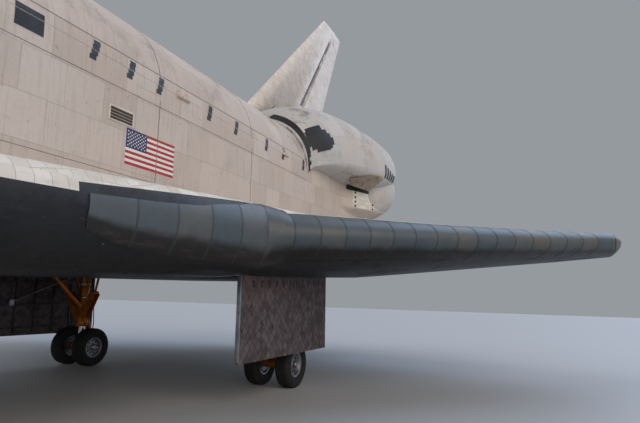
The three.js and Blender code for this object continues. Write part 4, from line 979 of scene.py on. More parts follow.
# Start ahead of or behind a hinge's station, low and high edge of its tiles below and above the door line
TILES_BELOW = [(-4, 412.4, 416), (-2.6, 416.1, 419.6)]
TILES_ABOVE = [(-1.4, 420.4, 424), (-0.4, 424.1, 427.6)]
HINGE_TILE = 5.6
BLACK_PANEL = {"station": 902, "half": 9.5, "low": 409.5, "high": 419.6}
VENTS = [700, 840, 978]
JOINT_HALF = 0.35
DOOR_JOINTS = [582.8, 727, 872, 1017, 1162, 1306.2]


def side_marks(side, word):
    """Hinge covers, vents, panel joints and the flag on a side of the fuselage and its bay door."""
    spot = on_side(side)
    lower, upper = bmesh.new(), bmesh.new()
    for station in HINGE_PATCHES:
        for shape, tiles in ((lower, TILES_BELOW), (upper, TILES_ABOVE)):
            for start, low, high in tiles:
                front = station + start
                plate(shape, spot, [front, front + HINGE_TILE], [low, high], high=0.22)
    middle, half = BLACK_PANEL["station"], BLACK_PANEL["half"]
    levels = [BLACK_PANEL["low"], BLACK_PANEL["high"]]
    plate(lower, spot, span(middle, half), levels, high=0.22)
    plate(upper, spot, span(middle, half), [420.4, 424], high=0.22)
    finish(f"hinge_cover_tiles_{word}", lower, [DARK_TILE])
    finish(f"door_edge_tiles_{word}", upper, [DARK_TILE], f"payload_bay_door_{word}")

    frames, mouths = bmesh.new(), bmesh.new()
    for station in VENTS:
        us, vs = [station - 12, station - 10.8, station + 10.8, station + 12], [375.6, 376.6, 386, 387]
        plate(frames, spot, us, vs, lambda i, j: (i, j) != (1, 1), high=0.5)
        for row in range(4):
            low = 376.9 + 2.3 * row
            plate(mouths, spot, span(station, 10.7), [low, low + 1.7], low=-0.5, high=0.2)
    finish(f"vent_frames_{word}", frames, [WHITE_TILE])
    finish(f"vent_slats_{word}", mouths, [BROWN_METAL])

    joints, door_joints = bmesh.new(), bmesh.new()
    over = on_round(hull_section, side)
    for station in DOOR_JOINTS:
        across = span(station, JOINT_HALF)
        if station < BAY_REAR - 7:
            plate(joints, spot, across, np.linspace(312, 419.6, 8), high=0.1)
        plate(door_joints, over, across, np.linspace(6.2, 88.6, 25), high=0.12)
    stations = np.linspace(584, 1305, 30)
    plate(joints, spot, stations, [401.6, 402.1], high=0.1)
    plate(joints, spot, stations, [338.2, 338.6], high=0.08)
    plate(door_joints, over, stations, [11.6, 11.9], high=0.12)
    finish(f"side_panel_joints_{word}", joints, [SEAM])
    finish(f"door_panel_joints_{word}", door_joints, [SEAM], f"payload_bay_door_{word}")

    flag = bmesh.new()
    plate(flag, spot, np.linspace(FLAG["front"], FLAG["rear"], 12),
          np.linspace(FLAG["low"], FLAG["high"], 8), high=0.08)
    wide, tall = FLAG["rear"] - FLAG["front"], FLAG["high"] - FLAG["low"]
    place = aimed((side * 105.15, FLAG["front"] + 0.2 * wide, FLAG["high"] - 0.27 * tall),
                  (side, 0, 0), (0, 1, 0))
    for columns, rows in ((6, 5), (5, 4)):
        grow(flag, ROWS, place, {
            "Columns": columns, "Rows": rows, "Width": (columns - 1) * 3.5,
            "Height": (rows - 1) * 2.7, "Stud Radius": 0.6, "Stud Height": 0.12, "Material": STAR_WHITE,
        }, index=1)
    finish(f"side_flag_{word}", flag, [FLAG_PAINT, STAR_WHITE])


def thrusters(name, word, groups):
    """Flanged thruster mouths flush with a skin, each group as a radius and its spots and normals."""
    rims, mouths = bmesh.new(), bmesh.new()
    for radius, spots in groups:
        for place, normal in spots:
            at = aimed(place, normal)
            rim = [(radius, -0.6), (radius, 0.5), (radius + 1.1, 0.35), (radius + 1.3, -0.6)]
            lathe(rims, rim, 20, at)
            mouth = [(0, 0.05), (radius * 0.5, 0.08), (radius, 0.3), (radius, -0.8), (0, -0.8)]
            lathe(mouths, mouth, 20, at)
    finish(f"{name}_rims_{word}", rims, [DARK_TILE])
    finish(f"{name}_mouths_{word}", mouths, [NOZZLE_METAL])


def spots_on(spot, pairs):
    """Places on a skin with the way out of it."""
    found = []
    for a, b in pairs:
        near, far = (spot(np.array([a]), np.array([b]), lift)[0] for lift in (0.0, 1.0))
        found.append((Vector(near), Vector(far - near)))
    return found


# Degrees up from the widest line and stations of each windshield opening
WINDSHIELD = {(72, 87.5): (424, 463), (52, 69.5): (427, 465), (35, 49.5): (434, 470)}
OVERHEAD = {"front": 512, "rear": 545, "low": 75, "high": 86.5}
HATCH_CENTRE = (97.3, 498, 358)
# Station and degrees up from the widest line
NOSE_THRUSTERS = [(268, 90), (270, 76), (270, 104)]
SIDE_THRUSTERS = [(308, 34), (322, 36), (308, 12), (322, 14)]


def nose_marks(side, word):
    """Window surrounds and nose thrusters on one side."""
    over = on_round(hull_section, side)
    frame_tiles = bmesh.new()
    us = np.unique([416, 420, 424, 427, 430, 434, 441, 448, 456, 463, 465, 470, 474, 478])
    vs = np.unique([30, 32, 35, 40, 45, 49.5, 52, 58, 64, 69.5, 72, 77, 82, 87.5, 89.8])

    def solid(i, j):
        u, v = (us[i] + us[i + 1]) / 2, (vs[j] + vs[j + 1]) / 2
        return not any(
            low < v < high and front < u < rear for (low, high), (front, rear) in WINDSHIELD.items()
        )
    plate(frame_tiles, over, us, vs, solid, low=-0.8, high=0.35)
    finish(f"windshield_surround_{word}", frame_tiles, [DARK_TILE])
    rim = bmesh.new()
    front, rear, low, high = OVERHEAD.values()
    plate(rim, over, [front - 3, front, (front + rear) / 2, rear, rear + 3],
          [low - 1.8, low, 80, high, high + 1.8], lambda i, j: i in (0, 3) or j in (0, 3),
          low=-0.8, high=0.35)
    finish(f"overhead_window_surround_{word}", rim, [DARK_TILE])
    groups = [(4.2, spots_on(over, SIDE_THRUSTERS))]
    if side > 0:
        groups.append((3.6, spots_on(over, NOSE_THRUSTERS)))
    thrusters("nose_thruster", word, groups)


def hatch_rings():
    """Dark tiles round the crew hatch and the rim of its window."""
    ring = bmesh.new()
    at = aimed(HATCH_CENTRE, (1, 0, 0))
    lathe(ring, [(20.7, -1.2), (20.7, 0.35), (22.6, 0.3), (22.8, -1.2)], 48, at)
    finish("hatch_surround", ring, [DARK_TILE])
    rim = bmesh.new()
    lathe(rim, [(5.1, -0.4), (5.1, 0.7), (7.2, 0.5), (7.4, -0.6)], 32, at)
    grow(rim, RING, at @ Matrix.Translation((0, 0, 0.5)), {
        "Count": 10, "Ring Radius": 6.3, "Stud Radius": 0.28, "Stud Height": 0.5, "Material": BARE_METAL,
    }, index=1)
    finish("hatch_window_rim", rim, [DARK_TILE, BARE_METAL], "crew_hatch")


# Front, rear, low and high edge of each step of the dark patch, by station and degrees
POD_PATCH = [
    (1313, 1323, 16, 28), (1318, 1330, 12, 36), (1323, 1338, 9.5, 35), (1330, 1344, 9, 30),
    (1340, 1349, 11, 26), (1345, 1354.5, 14, 21), (1316, 1321, 22, 32),
]
# Station, degrees and lift of the thruster housing's corners
POD_HOUSING = [
    (1408, -34, 0.2), (1446, -9, 0.5), (1478, -5, 1.2), (1482, -12, 2.0), (1474, -44, 6.0),
    (1426, -46, 4.0), (1412, -38, -3.0), (1478, -30, -4.0), (1472, -48, -4.0), (1448, -14, -4.0),
]
# Stations and degrees of the dark tile rows round the pod's front, above and below
FRONT_ABOVE = ([1309, 1310.5, 1312.5, 1314.5], np.linspace(12, 72, 30))
FRONT_BELOW = ([1309, 1310.2, 1311.6], np.linspace(-25, 12, 14))
# Port and waterline on the pod's rear face
REAR_THRUSTERS = [(84, 462), (94, 462), (84, 474), (94, 474), (106, 466), (118, 462)]
# Station, port, waterline, half width and half height of the round shell under the pod's rear
REAR_SHELL = [
    (1488, 118, 412, 18, 27), (1502, 121, 416, 26, 33), (1516, 125, 420, 33, 39),
    (1530, 128, 423, 38, 43), (1543, 129, 425, 38, 43), (1554, 129, 428, 33, 38),
    (1563, 129, 432, 24, 29), (1570, 129, 436, 12, 15),
]


def pod_marks(side, word):
    """Dark tiles, the sooty thruster housing, the round rear shell and the thrusters of a pod."""
    skin_spot = on_round(pod_section, side)
    tiles = bmesh.new()
    for row in (FRONT_ABOVE, FRONT_BELOW):
        plate(tiles, skin_spot, *row, low=-0.6, high=0.35)
    for k in range(6):
        plate(tiles, skin_spot, [1311.6, 1313.8], [9 - 6 * k, 12 - 6 * k], low=-0.6, high=0.3)
    us, vs = np.arange(1313, 1355, 2.1), np.arange(8.0, 37, 1.45)

    def inside(i, j):
        station, degrees = us[i] + 1, vs[j] + 0.7
        return any(
            front < station < rear and low < degrees < high for front, rear, low, high in POD_PATCH
        )
    plate(tiles, skin_spot, us, vs, inside, low=-0.6, high=0.4)
    for k in range(5):
        near = 1489 + 8.5 * k
        plate(tiles, skin_spot, [near, near + 5], np.linspace(-14 - k, 7 - 2 * k, 8), low=-0.6, high=0.3)
    for k in range(7):
        near = 1385 + 6.2 * k + (k % 3)
        plate(tiles, skin_spot, [near, near + 1.6], [-33 + (k % 2) * 3, -31.4 + (k % 2) * 3], low=-0.4,
              high=0.25)
    finish(f"pod_dark_tiles_{word}", tiles, [DARK_TILE])
    housing = bmesh.new()
    for station, degrees, lift in POD_HOUSING:
        spot = skin_spot(np.array([float(station)]), np.array([float(degrees)]), lift)[0]
        housing.verts.new(spot - (0, 0, 5))
    bmesh.ops.convex_hull(housing, input=housing.verts)
    bmesh.ops.bevel(housing, geom=housing.edges[:], offset=0.7, segments=2, affect="EDGES")
    finish(f"thruster_housing_{word}", housing, [BROWN_FELT])
    shell = bmesh.new()
    lathe(shell, [(0, 0), *((1, row) for row in range(len(REAR_SHELL))), (0, len(REAR_SHELL) - 1)],
          32, Matrix.Identity(4), closed=False)
    for vertex in shell.verts:
        station, port, waterline, half, tall = REAR_SHELL[round(vertex.co.z)]
        vertex.co = (side * (port + half * vertex.co.x), station, waterline + tall * vertex.co.y)
    # The rear shell's felt carries the same painted cool light.
    finish(f"pod_rear_shell_{word}", shell, [POD_FELT_PAINTED_COOL_LIGHT], smooth=60)
    rear = [(Vector((side * port, 1574, waterline)), Vector((0, 1, 0)))
            for port, waterline in REAR_THRUSTERS]
    thrusters("pod_thruster", word, [(3.2, rear)])


SHOULDER_FACE = np.array([[1415, 107], [1470, 129], [1532, 151]])


def on_shoulder(side):
    """Spots on the aft shoulder's outer face by station and waterline."""
    def spot(station, waterline, lift):
        port = np.interp(station, SHOULDER_FACE[:, 0], SHOULDER_FACE[:, 1])
        return np.stack([side * (port + lift), station, waterline + 0 * port], 1)
    return spot


# Stations and waterlines of the white service panel and of the dark slot above it, which is a raised plate of
# painted shade
SERVICE_PANEL = (np.linspace(1450, 1504, 5), [386, 400, 413])
SLOT_ABOVE = (np.linspace(1436, 1488, 5), [413.2, 420])


def tail_marks(side, word):
    """The service panel on an aft shoulder and the strip along the rudder gap."""
    spot = on_shoulder(side)
    panel = bmesh.new()
    plate(panel, spot, *SERVICE_PANEL, low=-0.4, high=0.35)
    plate(panel, spot, *SLOT_ABOVE, low=-0.4, high=1.2)
    # Faces above the panel take the dark tile finish: painted shade standing for the slot.
    for face in panel.faces:
        face.material_index = int(face.calc_center_median().z > 413.1)
    grow(panel, ROWS, aimed((side * 131.9, 1477, 399.5), (side, -0.37, 0), (0, 1, 0)), {
        "Columns": 2, "Rows": 4, "Width": 46.0, "Height": 22.0, "Stud Radius": 1.7, "Stud Height": 1.6,
        "Material": DARK_TILE,
    }, index=1)
    finish(f"service_panel_{word}", panel, [WHITE_TILE, DARK_TILE])
    gap = bmesh.new()
    plate(gap, on_fin(side), np.linspace(583, 780, 14), [0.497, 0.5295], low=-0.3, high=0.25)
    finish(f"rudder_gap_strip_{word}", gap, [DARK_METAL])


FIN_OUTLINE = np.array([[0, 0.06], [0.03, 0.32], [0.15, 0.66], [0.4, 0.96], [0.6, 1], [1, 0.12]])


def on_fin(side):
    """Spots on the fin's flank by waterline and share of the chord."""
    def spot(waterline, share, lift):
        height = (waterline - 503) / (818.7 - 503)
        front, rear = 1289 + 315.7 * height, 1546.4 + 155.7 * height
        half = np.interp(share, FIN_OUTLINE[:, 0], FIN_OUTLINE[:, 1]) * 0.046 * (rear - front)
        return np.stack([side * (half + lift), front + share * (rear - front), waterline], 1)
    return spot


def on_wing_top(side, upper=1):
    """Spots on the wing's top, or its bottom where upper is -1, by port and station."""
    def spot(port, station, lift):
        return np.stack([side * port, station, wing_spot(port, station, upper) + upper * lift], 1)
    return spot


# Station and port of the main wheel well's corners, and the ports that the hinge covers reach between
WELL_EDGE = ((1041, 110), (1041, 169.5), (1221, 169.5), (1221, 110))
HINGE_COVER_REACH = ((124, 310), (315, 458))


def wing_marks(side, word):
    """Covers over a wing's elevon hinges and strips round its main wheel well."""
    covers = bmesh.new()
    top = on_wing_top(side)
    for low, high in HINGE_COVER_REACH:
        stops = np.linspace(low, high, int((high - low) / 15))
        for a, b in zip(stops, stops[1:]):
            plate(covers, top, [a + 0.3, b - 0.3], [1364, 1370, 1377.6], low=-0.3, high=0.4)
    finish(f"elevon_hinge_covers_{word}", covers, [DARK_METAL])
    seams = bmesh.new()
    under = on_wing_top(side, -1)
    for (s0, p0), (s1, p1) in zip(WELL_EDGE, WELL_EDGE[1:]):
        if s0 == s1:
            plate(seams, under, np.linspace(p0, p1, 8), span(s0, 0.5), high=0.3)
        else:
            plate(seams, under, span(p0, 0.4), np.linspace(s0, s1, 16), high=0.3)
    finish(f"wheel_well_edge_{word}", seams, [BARE_METAL])


def engine_place(station, port, waterline, up, out):
    """Sets a bell's axis at its gimbal, tilted up and out by degrees."""
    return (
        Matrix.Translation((port, station, waterline))
        @ Matrix.Rotation(math.radians(-out), 4, "Z")
        @ Matrix.Rotation(math.radians(up), 4, "X")
        @ Matrix.Rotation(math.radians(-90), 4, "X")
    )


# Name, place, and the radius and distance of the opening that the felt collar closes
MAIN_ENGINES = [
    ("upper", engine_place(1445, 0, 443, 16, 0), 38, 53.6),
    ("left", engine_place(1468.2, 53, 342.6, 10, 3.5), 36, 48.3),
    ("right", engine_place(1468.2, -53, 342.6, 10, -3.5), 36, 48.3),
]
# Above the throat: the hot gas manifold and chamber as radius and distance, the pumps as degrees round,
# radius, front and rear, and one duct's path as distance out, sideways and along
MANIFOLD = [(0, 9), (8, 9), (8.5, 12), (16, 15), (22, 20), (23, 25), (19, 31), (13, 37), (10, 43), (9, 49),
            (0, 49)]
PUMPS = [(20, 6.5, 16, 40), (150, 6, 17, 38), (250, 4.5, 20, 36), (310, 4, 22, 38)]
DUCT = [(9, 0, 14), (17, 2, 17), (22, 6, 24), (19, 8, 34), (14, 4, 44), (16, 0, 52), (19.5, 0, 59)]
DUCT_TURNS, DRAIN_TURNS = (60, 100, 200, 285, 345), (90, 210, 330)


def bell_shape(shape, place, throat, end, throat_radius, exit_radius, wall, bands, tubes, tube_radius):
    """A flared bell with cooling tubes, stiffening bands and a rolled lip."""
    def radius(share):
        return throat_radius + (exit_radius - throat_radius) * share**BELL_FLARE
    shares = [(k / 18) ** 1.4 for k in range(19)]
    outside = [(radius(s) - tube_radius, throat + s * (end - throat)) for s in shares]
    inside = [(r - wall, along) for r, along in reversed(outside)]
    lathe(shape, outside + inside, 64, place)
    first = set(shape.faces)
    for face in first:
        face.material_index = 1
    grow(shape, BELL_TUBES, place @ Matrix.Translation((0, 0, throat)), {
        "Count": tubes, "Throat Radius": throat_radius - tube_radius / 2,
        "Exit Radius": exit_radius - tube_radius, "Length": end - throat, "Tube Radius": tube_radius,
        "Material": NOZZLE_METAL,
    })
    for share in bands:
        r, along = radius(share), throat + share * (end - throat)
        lathe(shape, [(r - 0.5, along - 0.7), (r + 0.55, along - 0.7), (r + 0.55, along + 0.7),
                      (r - 0.5, along + 0.7)], 64, place)
    lip = [(exit_radius - 0.9 + 0.9 * math.cos(t), end - 1.2 + 1.1 * math.sin(t))
           for t in np.linspace(0, math.tau, 9)[:-1]]
    lathe(shape, lip, 64, place)


def engines():
    """The three main engines, each with what is plumbed above its bell and its felt collar."""
    for name, place, opening, face in MAIN_ENGINES:
        shape = bmesh.new()
        bell_shape(shape, place, throat=47, end=167.4, throat_radius=8, exit_radius=44.9, wall=0.6,
                   bands=(0.12, 0.2, 0.29, 0.39, 0.5, 0.61, 0.73, 0.86), tubes=110, tube_radius=0.5)
        lathe(shape, MANIFOLD, 40, place, closed=False)
        for turn, size, top, low in PUMPS:
            angle = math.radians(turn)
            spot = Matrix.Translation((15.5 * math.cos(angle), 15.5 * math.sin(angle), 0))
            lathe(shape, [(0, top), (size * 0.7, top), (size, top + 2), (size, low - 4), (size * 0.6, low),
                          (0, low)], 20, place @ spot, closed=False)
        for turn in DUCT_TURNS:
            round_bell = place @ Matrix.Rotation(math.radians(turn), 4, "Z")
            tube(shape, [round_bell @ Vector(p) for p in eased(DUCT, 5)], 1.5, 10)
        for turn in DRAIN_TURNS:
            round_bell = place @ Matrix.Rotation(math.radians(turn), 4, "Z")
            path = [round_bell @ Vector((9.6 + 37.35 * share**BELL_FLARE, 0, 47 + share * 119.6))
                    for share in np.linspace(0.06, 0.985, 12)]
            tube(shape, path, 1.1, 8)
        finish(f"engine_{name}", shape, [NOZZLE_METAL, BELL_INSIDE],
               f"main_engine_{name}", (f"main_engine_{name}",), smooth=40)
        collar = bmesh.new()
        ring = [(opening + 0.4, face - 5), (opening + 0.8, face + 2.5), (opening + 2.6, face + 3.6),
                (opening + 6, face + 1.5), (opening + 7.5, face - 5)]
        lathe(collar, ring, 56, place)
        finish(f"engine_closeout_{name}", collar, [GREY_FELT])


def orbital_bell(side, word):
    """The small engine on a pod."""
    place = engine_place(1518, side * 88, 492, 15.8, side * 6.5)
    shape = bmesh.new()
    bell_shape(shape, place, throat=18, end=77, throat_radius=4, exit_radius=21.5, wall=0.5,
               bands=(0.12, 0.3, 0.5, 0.75), tubes=72, tube_radius=0.3)
    lathe(shape, [(0, 0.4), (8.5, 0.4), (9, 4), (6.5, 12), (4.4, 19), (0, 19)], 32, place, closed=False)
    finish(f"orbital_engine_bell_{word}", shape, [NOZZLE_METAL, BELL_INSIDE],
           replaced=(f"orbital_engine_{word}",), smooth=40)


def eased(points, cuts):
    """More points on a smooth curve through the given ones."""
    points = np.array(points, float)
    padded = np.vstack([2 * points[0] - points[1], points, 2 * points[-1] - points[-2]])
    made = []
    for i in range(1, len(padded) - 2):
        a, b, c, d = padded[i - 1 : i + 3]
        for t in np.arange(cuts) / cuts:
            made.append(0.5 * (2 * b + (c - a) * t + (2 * a - 5 * b + 4 * c - d) * t * t
                               + (3 * b - a - 3 * c + d) * t**3))
    return made + [padded[-2]]


MAIN_GEAR = {"station": 1172, "port": 136, "axle": 182, "tyre": 22.25, "width": 16, "rim": 11, "spread": 17.5}
NOSE_GEAR = {"station": 378, "port": 0, "axle": 209, "tyre": 16, "width": 8.8, "rim": 7.5, "spread": 11}


def tyre_shape(gear, place):
    """A tyre with four grooves cut round its tread."""
    shape = bmesh.new()
    rim, top, half = gear["rim"], gear["tyre"], gear["width"] / 2
    side = [(rim, 0.66), (rim * 1.2, 0.8), (top * 0.7, 0.96), (top * 0.8, 1.0), (top * 0.88, 0.96),
            (top * 0.95, 0.84), (top * 0.985, 0.7)]
    tread = []
    for centre in (0.42, 0.14, -0.14, -0.42):
        tread += [(top, centre + 0.045), (top - 0.55, centre + 0.035), (top - 0.55, centre - 0.035),
                  (top, centre - 0.045)]
    profile = side + tread + [(r, -along) for r, along in reversed(side)]
    lathe(shape, [(r, along * half) for r, along in profile], 64, place)
    return shape


def hub_shape(shape, gear, place, outward_side):
    """A cast wheel with its brake drum, nuts and studs."""
    scale, half = gear["rim"] / 11 * 1.16, gear["width"] * 0.37
    flip = Matrix.Diagonal((1, 1, outward_side, 1))
    profile = [(0, 1.06), (1.9, 1.06), (2.5, 0.95), (2.7, 0.62), (5.0, 0.42), (7.9, 0.5), (8.6, 0.86),
               (9.6, 0.94), (10.9, 1.0), (10.9, -1.0), (9.2, -0.94), (8.4, -0.5), (3.0, -0.4), (0, -0.4)]
    at = place @ flip
    lathe(shape, [(r * scale, along * half) for r, along in profile], 48, at, closed=False)
    for rise, count, ring, stud, tall, material, index in (
        (0.45, 9, 6.3, 1.15, 0.5, DARK_METAL, 1), (0.93, 16, 9.3, 0.38, 0.7, WHEEL_METAL, 0),
        (0.72, 8, 3.5, 0.4, 1.4, WHEEL_METAL, 0),
    ):
        grow(shape, RING, at @ Matrix.Translation((0, 0, rise * half)), {
            "Count": count, "Ring Radius": ring * scale, "Stud Radius": stud * scale,
            "Stud Height": tall, "Material": material,
        }, index)
    lathe(shape, [(3.2 * scale, -0.5 * half), (7.4 * scale, -0.5 * half), (7.4 * scale, -0.9 * half),
                  (3.2 * scale, -0.9 * half)], 36, at)


def wheels():
    """Tyres and hubs of all three axles."""
    sets = [("main", MAIN_GEAR, side, word, f"main_wheels_{word}") for side, word in SIDES]
    sets.append(("nose", NOSE_GEAR, 1, "", "nose_wheels"))
    for kind, gear, side, word, body in sets:
        hubs = bmesh.new()
        for offset, name in ((1, "outer"), (-1, "inner")):
            port = side * (gear["port"] + offset * gear["spread"])
            place = aimed((port, gear["station"], gear["axle"]), (1, 0, 0))
            label = name if kind == "main" else ("left", "right")[offset < 0]
            node = f"{kind}_tyre_{label}" + (f"_{word}" if word else "")
            tyre = tyre_shape(gear, place)
            finish(f"{node}_tread", tyre, [RUBBER], body, (node,), smooth=40)
            hub_shape(hubs, gear, place, side * offset)
        reach = gear["spread"] - gear["width"] * 0.36 + 0.5
        centre = Vector((side * gear["port"], gear["station"], gear["axle"]))
        step = Vector((reach, 0, 0))
        tube(hubs, span(centre, step), gear["rim"] * 0.215, 16)
        node = f"{kind}_axle" + (f"_{word}" if word else "")
        finish(f"{node}_wheels", hubs, [WHEEL_METAL, DARK_METAL], body, (node,), smooth=35)


MAIN_DOOR_PORT = 170.25
# Height above the axle, radius and length of the bands round the main legs and the nose leg
LEG_BANDS = [(43, 6.6, 3), (58, 6.4, 2), (74, 6.5, 2.4), (92, 6.4, 2)]
NOSE_LEG_BANDS = [(35.5, 5.6, 3), (52, 5.4, 2), (70, 5.5, 2)]
# Out, aft and up from the axle's middle
BRAKE_HOSE = [(5.6, 4, 96), (6.6, 7, 70), (7.4, 9.5, 44), (8.2, 10, 24), (7.6, 6.5, 8), (6.2, 3.5, 5.5)]
# Out and up from the plate's foot
BRACE_PLATE = [(-1, -3), (6, 0), (25, 33), (21, 37), (16, 34), (9, 20), (2, 15), (-1, 16)]


def main_leg(side, word):
    """A main leg with its bands, bright piston, hoses and splayed brace plates."""
    station, port, axle = MAIN_GEAR["station"], MAIN_GEAR["port"], MAIN_GEAR["axle"]
    skin(f"main_gear_strut_{word}", f"main_gear_leg_{word}", "airframe", [GOLD_STRUT])
    shape = bmesh.new()
    for height, size, tall in LEG_BANDS:
        at = Matrix.Translation((side * port, station, axle + height))
        lathe(shape, [(4.5, 0), (size - 0.4, 0), (size, 0.5), (size, tall - 0.5), (size - 0.4, tall),
                      (4.5, tall)], 28, at)
    lathe(shape, [(3.5, 9), (4.15, 9), (4.15, 41), (3.5, 41)], 28,
          Matrix.Translation((side * port, station, axle)))
    for face in shape.faces:
        face.material_index = 1 if abs(face.calc_center_median().z - axle - 25) < 15.5 else 0
    before = set(shape.faces)
    for bend in (-1, 1):
        hose = [(side * port + bend * out, station + aft, axle + up) for out, aft, up in BRAKE_HOSE]
        tube(shape, eased(hose, 6), 0.55, 8)
    faces_since(shape, before, 2)
    # Splayed plates that carry the leg's side braces, with a rod on from each
    before = set(shape.faces)
    foot = Vector((side * port, station - 1, axle + 30))
    for lean in (-1, 1):
        head = foot + Vector((lean * 22, -3, 35))
        for face_off in (-4.4, 3.2):
            flat = [foot + Vector((lean * out, face_off - up * 0.07, up)) for out, up in BRACE_PLATE]
            low = [shape.verts.new(p) for p in flat]
            top = [shape.verts.new(p + Vector((0, 1.2, 0))) for p in flat]
            shape.faces.new(low)
            shape.faces.new(top[::-1])
            for k, (a, b) in enumerate(zip(low, low[1:] + low[:1])):
                shape.faces.new([b, a, top[k], top[(k + 1) % len(top)]])
        tube(shape, [head, head + Vector((lean * 12, -5, 29))], 1.4, 12)
        tube(shape, [head + Vector((0, -3.5, 0)), head + Vector((0, 4.5, 0))], 1.9, 12)
    lathe(shape, [(4.3, -4), (6.3, -4), (6.9, -3), (6.9, 7), (6.2, 8.5), (4.3, 8.5)], 28,
          Matrix.Translation((side * port, station, axle + 28)))
    faces_since(shape, before, 3)
    finish(f"main_leg_fittings_{word}", shape, [BARE_METAL, CHROME, RUBBER, GOLD_STRUT])


def main_door(side, word):
    """A main gear door with its front strip, dark blocks that paint the shade in the notches along its top
    edge, ribs inside and two links.
    """
    station, port, axle = MAIN_GEAR["station"], MAIN_GEAR["port"], MAIN_GEAR["axle"]
    door = bmesh.new()
    x = side * MAIN_DOOR_PORT
    block(door, (x - 1.55, 1043.6, 201.5), (x + 1.55, 1045.2, 268.5), chamfer=0.15)
    # Dark tile blocks along the top edge stand for its notches: their dark colour is painted shade in the
    # notches.
    for k in range(11):
        near = 1062 + 13.4 * k
        top = wing_spot(np.array([170.0]), np.array([near + 2.0]), -1)[0]
        block(door, (x - 1.6, near, top - 9), (x + 1.6, near + 3.4, top - 3.4), chamfer=0.2)
    for face in door.faces:
        face.material_index = 1 if face.calc_center_median().y > 1050 else 0
    inner = x - side * 2.6
    before = set(door.faces)
    for k in range(7):
        near = 1056 + 24.5 * k
        low = 203 - 0.032 * (near - 1045)
        block(door, (min(inner, x), near, low), (max(inner, x), near + 2, 262), chamfer=0.3)
    for low in (206, 232, 258):
        block(door, (min(inner, x), 1047, low), (max(inner, x), 1215, low + 2), chamfer=0.3)
    faces_since(door, before, 2)
    before = set(door.faces)
    for near in (1100, 1196):
        head = (side * (port + 7), station + (near - station) * 0.12, axle + 86)
        tube(door, [(inner, near, 236), head], 1.0, 10)
        block(door, (inner - 2, near - 3, 232), (inner + 2, near + 3, 240), chamfer=0.4)
    faces_since(door, before, 0)
    finish(f"main_door_fittings_{word}", door, [BARE_METAL, DARK_TILE, DARK_METAL])
    skin(f"main_gear_door_{word}", f"main_gear_door_tiles_{word}", "airframe", [DOOR_TILE])


def nose_gear_fittings():
    """The nose leg and fork with bands, steering arms, hoses and a lamp."""
    skin("nose_gear_strut", "nose_gear_leg", "airframe", [GOLD_STRUT])
    skin("nose_steering_fork", "nose_gear_fork", "nose_fork", [GOLD_STRUT])
    axle, station = NOSE_GEAR["axle"], NOSE_GEAR["station"]
    shape = bmesh.new()
    for height, size, tall in NOSE_LEG_BANDS:
        lathe(shape, [(4, 0), (size, 0), (size, tall), (4, tall)], 24,
              Matrix.Translation((0, station, axle + height)))
    for bend in (-1, 1):
        tube(shape, [(bend * 5.2, station - 1, axle + 44), (bend * 8.5, station - 2, axle + 44)], 2.3, 16)
        hose = [(bend * 4.6, station + 3, axle + 92), (bend * 5.6, station + 5, axle + 66),
                (bend * 5.4, station + 4.6, axle + 46), (bend * 4.8, station + 3.2, axle + 37)]
        tube(shape, eased(hose, 6), 0.45, 8)
    finish("nose_leg_fittings", shape, [BARE_METAL])
    lights = bmesh.new()
    lathe(lights, [(0, 0), (2.6, 0), (3.1, 1.4), (2.7, 1.6), (2.2, 0.8), (0, 0.7)], 24,
          aimed((0, station - 6.2, axle + 60), (0, -1, 0)), closed=False)
    finish("nose_leg_lamp", lights, [CHROME])


def nose_door(side, word):
    """A nose gear door with its ribs inside."""
    skin(f"nose_gear_door_{word}", f"nose_gear_door_tiles_{word}", "airframe", [DARK_TILE])
    ribs = bmesh.new()
    near_x, far_x = sorted((side * 23.3, side * 21.6))
    for k in range(5):
        front = 308 + 18.6 * k
        block(ribs, (near_x, front, 253), (far_x, front + 1.4, 270), chamfer=0.2)
    for low in (253, 268.6):
        block(ribs, (near_x, 306, low), (far_x, 386, low + 1.4), chamfer=0.2)
    finish(f"nose_door_ribs_{word}", ribs, [BARE_METAL])


BAY_STRINGERS = (-165, -140, -115, -65, -40, -15)


def bay_fittings():
    """Frames, stringers and bulkhead ribs in the payload bay, and its sills."""
    def wall(station, degrees, lift):
        angle = np.radians(degrees)
        radius = BAY_RADIUS - lift
        return np.stack([radius * np.cos(angle), station, BAY_CENTRE + radius * np.sin(angle)], 1)
    frames = bmesh.new()
    for station in np.linspace(600, 1289, 13):
        plate(frames, wall, span(station, 0.6), np.linspace(-178, -2, 40), low=-0.6, high=3.6)
        plate(frames, wall, span(station, 2.4), np.linspace(-178, -2, 40), low=3.4, high=4.1)
    for degrees in BAY_STRINGERS:
        plate(frames, wall, [584, 800, 1050, 1304], span(degrees, 0.7), low=-0.4, high=2.2)
    for wall_at, deep in ((BAY_FRONT, 2.2), (BAY_REAR, -2.2)):
        front, rear = sorted((wall_at, wall_at + deep))
        for port in range(-66, 67, 22):
            tall = math.sqrt(84**2 - port**2)
            block(frames, (port - 0.8, front, BAY_CENTRE - tall), (port + 0.8, rear, BAY_CENTRE + tall),
                  chamfer=0.3)
        for rise in (-45, 0, 45):
            wide = math.sqrt(86**2 - rise**2)
            block(frames, (-wide, front, BAY_CENTRE + rise - 1), (wide, rear, BAY_CENTRE + rise + 1),
                  chamfer=0.3)
    finish("bay_frames", frames, [BARE_METAL])
    rails = bmesh.new()
    for side, _ in SIDES:
        low, high = sorted((side * 90.4, side * 93.4))
        block(rails, (low, 584, 411), (high, 1305, 417.5), chamfer=0.5)
        for station in DOOR_JOINTS[1:-1]:
            low, high = sorted((side * 88.6, side * 91))
            block(rails, (low, station - 7, 409), (high, station + 7, 419), chamfer=0.6)
    finish("bay_sill_rails", rails, [GOLD_STRUT])


# Stations that each pair of radiator sheets reaches between
RADIATOR_REACH = [(592, 758), (768, 934), (948, 1116), (1126, 1297)]


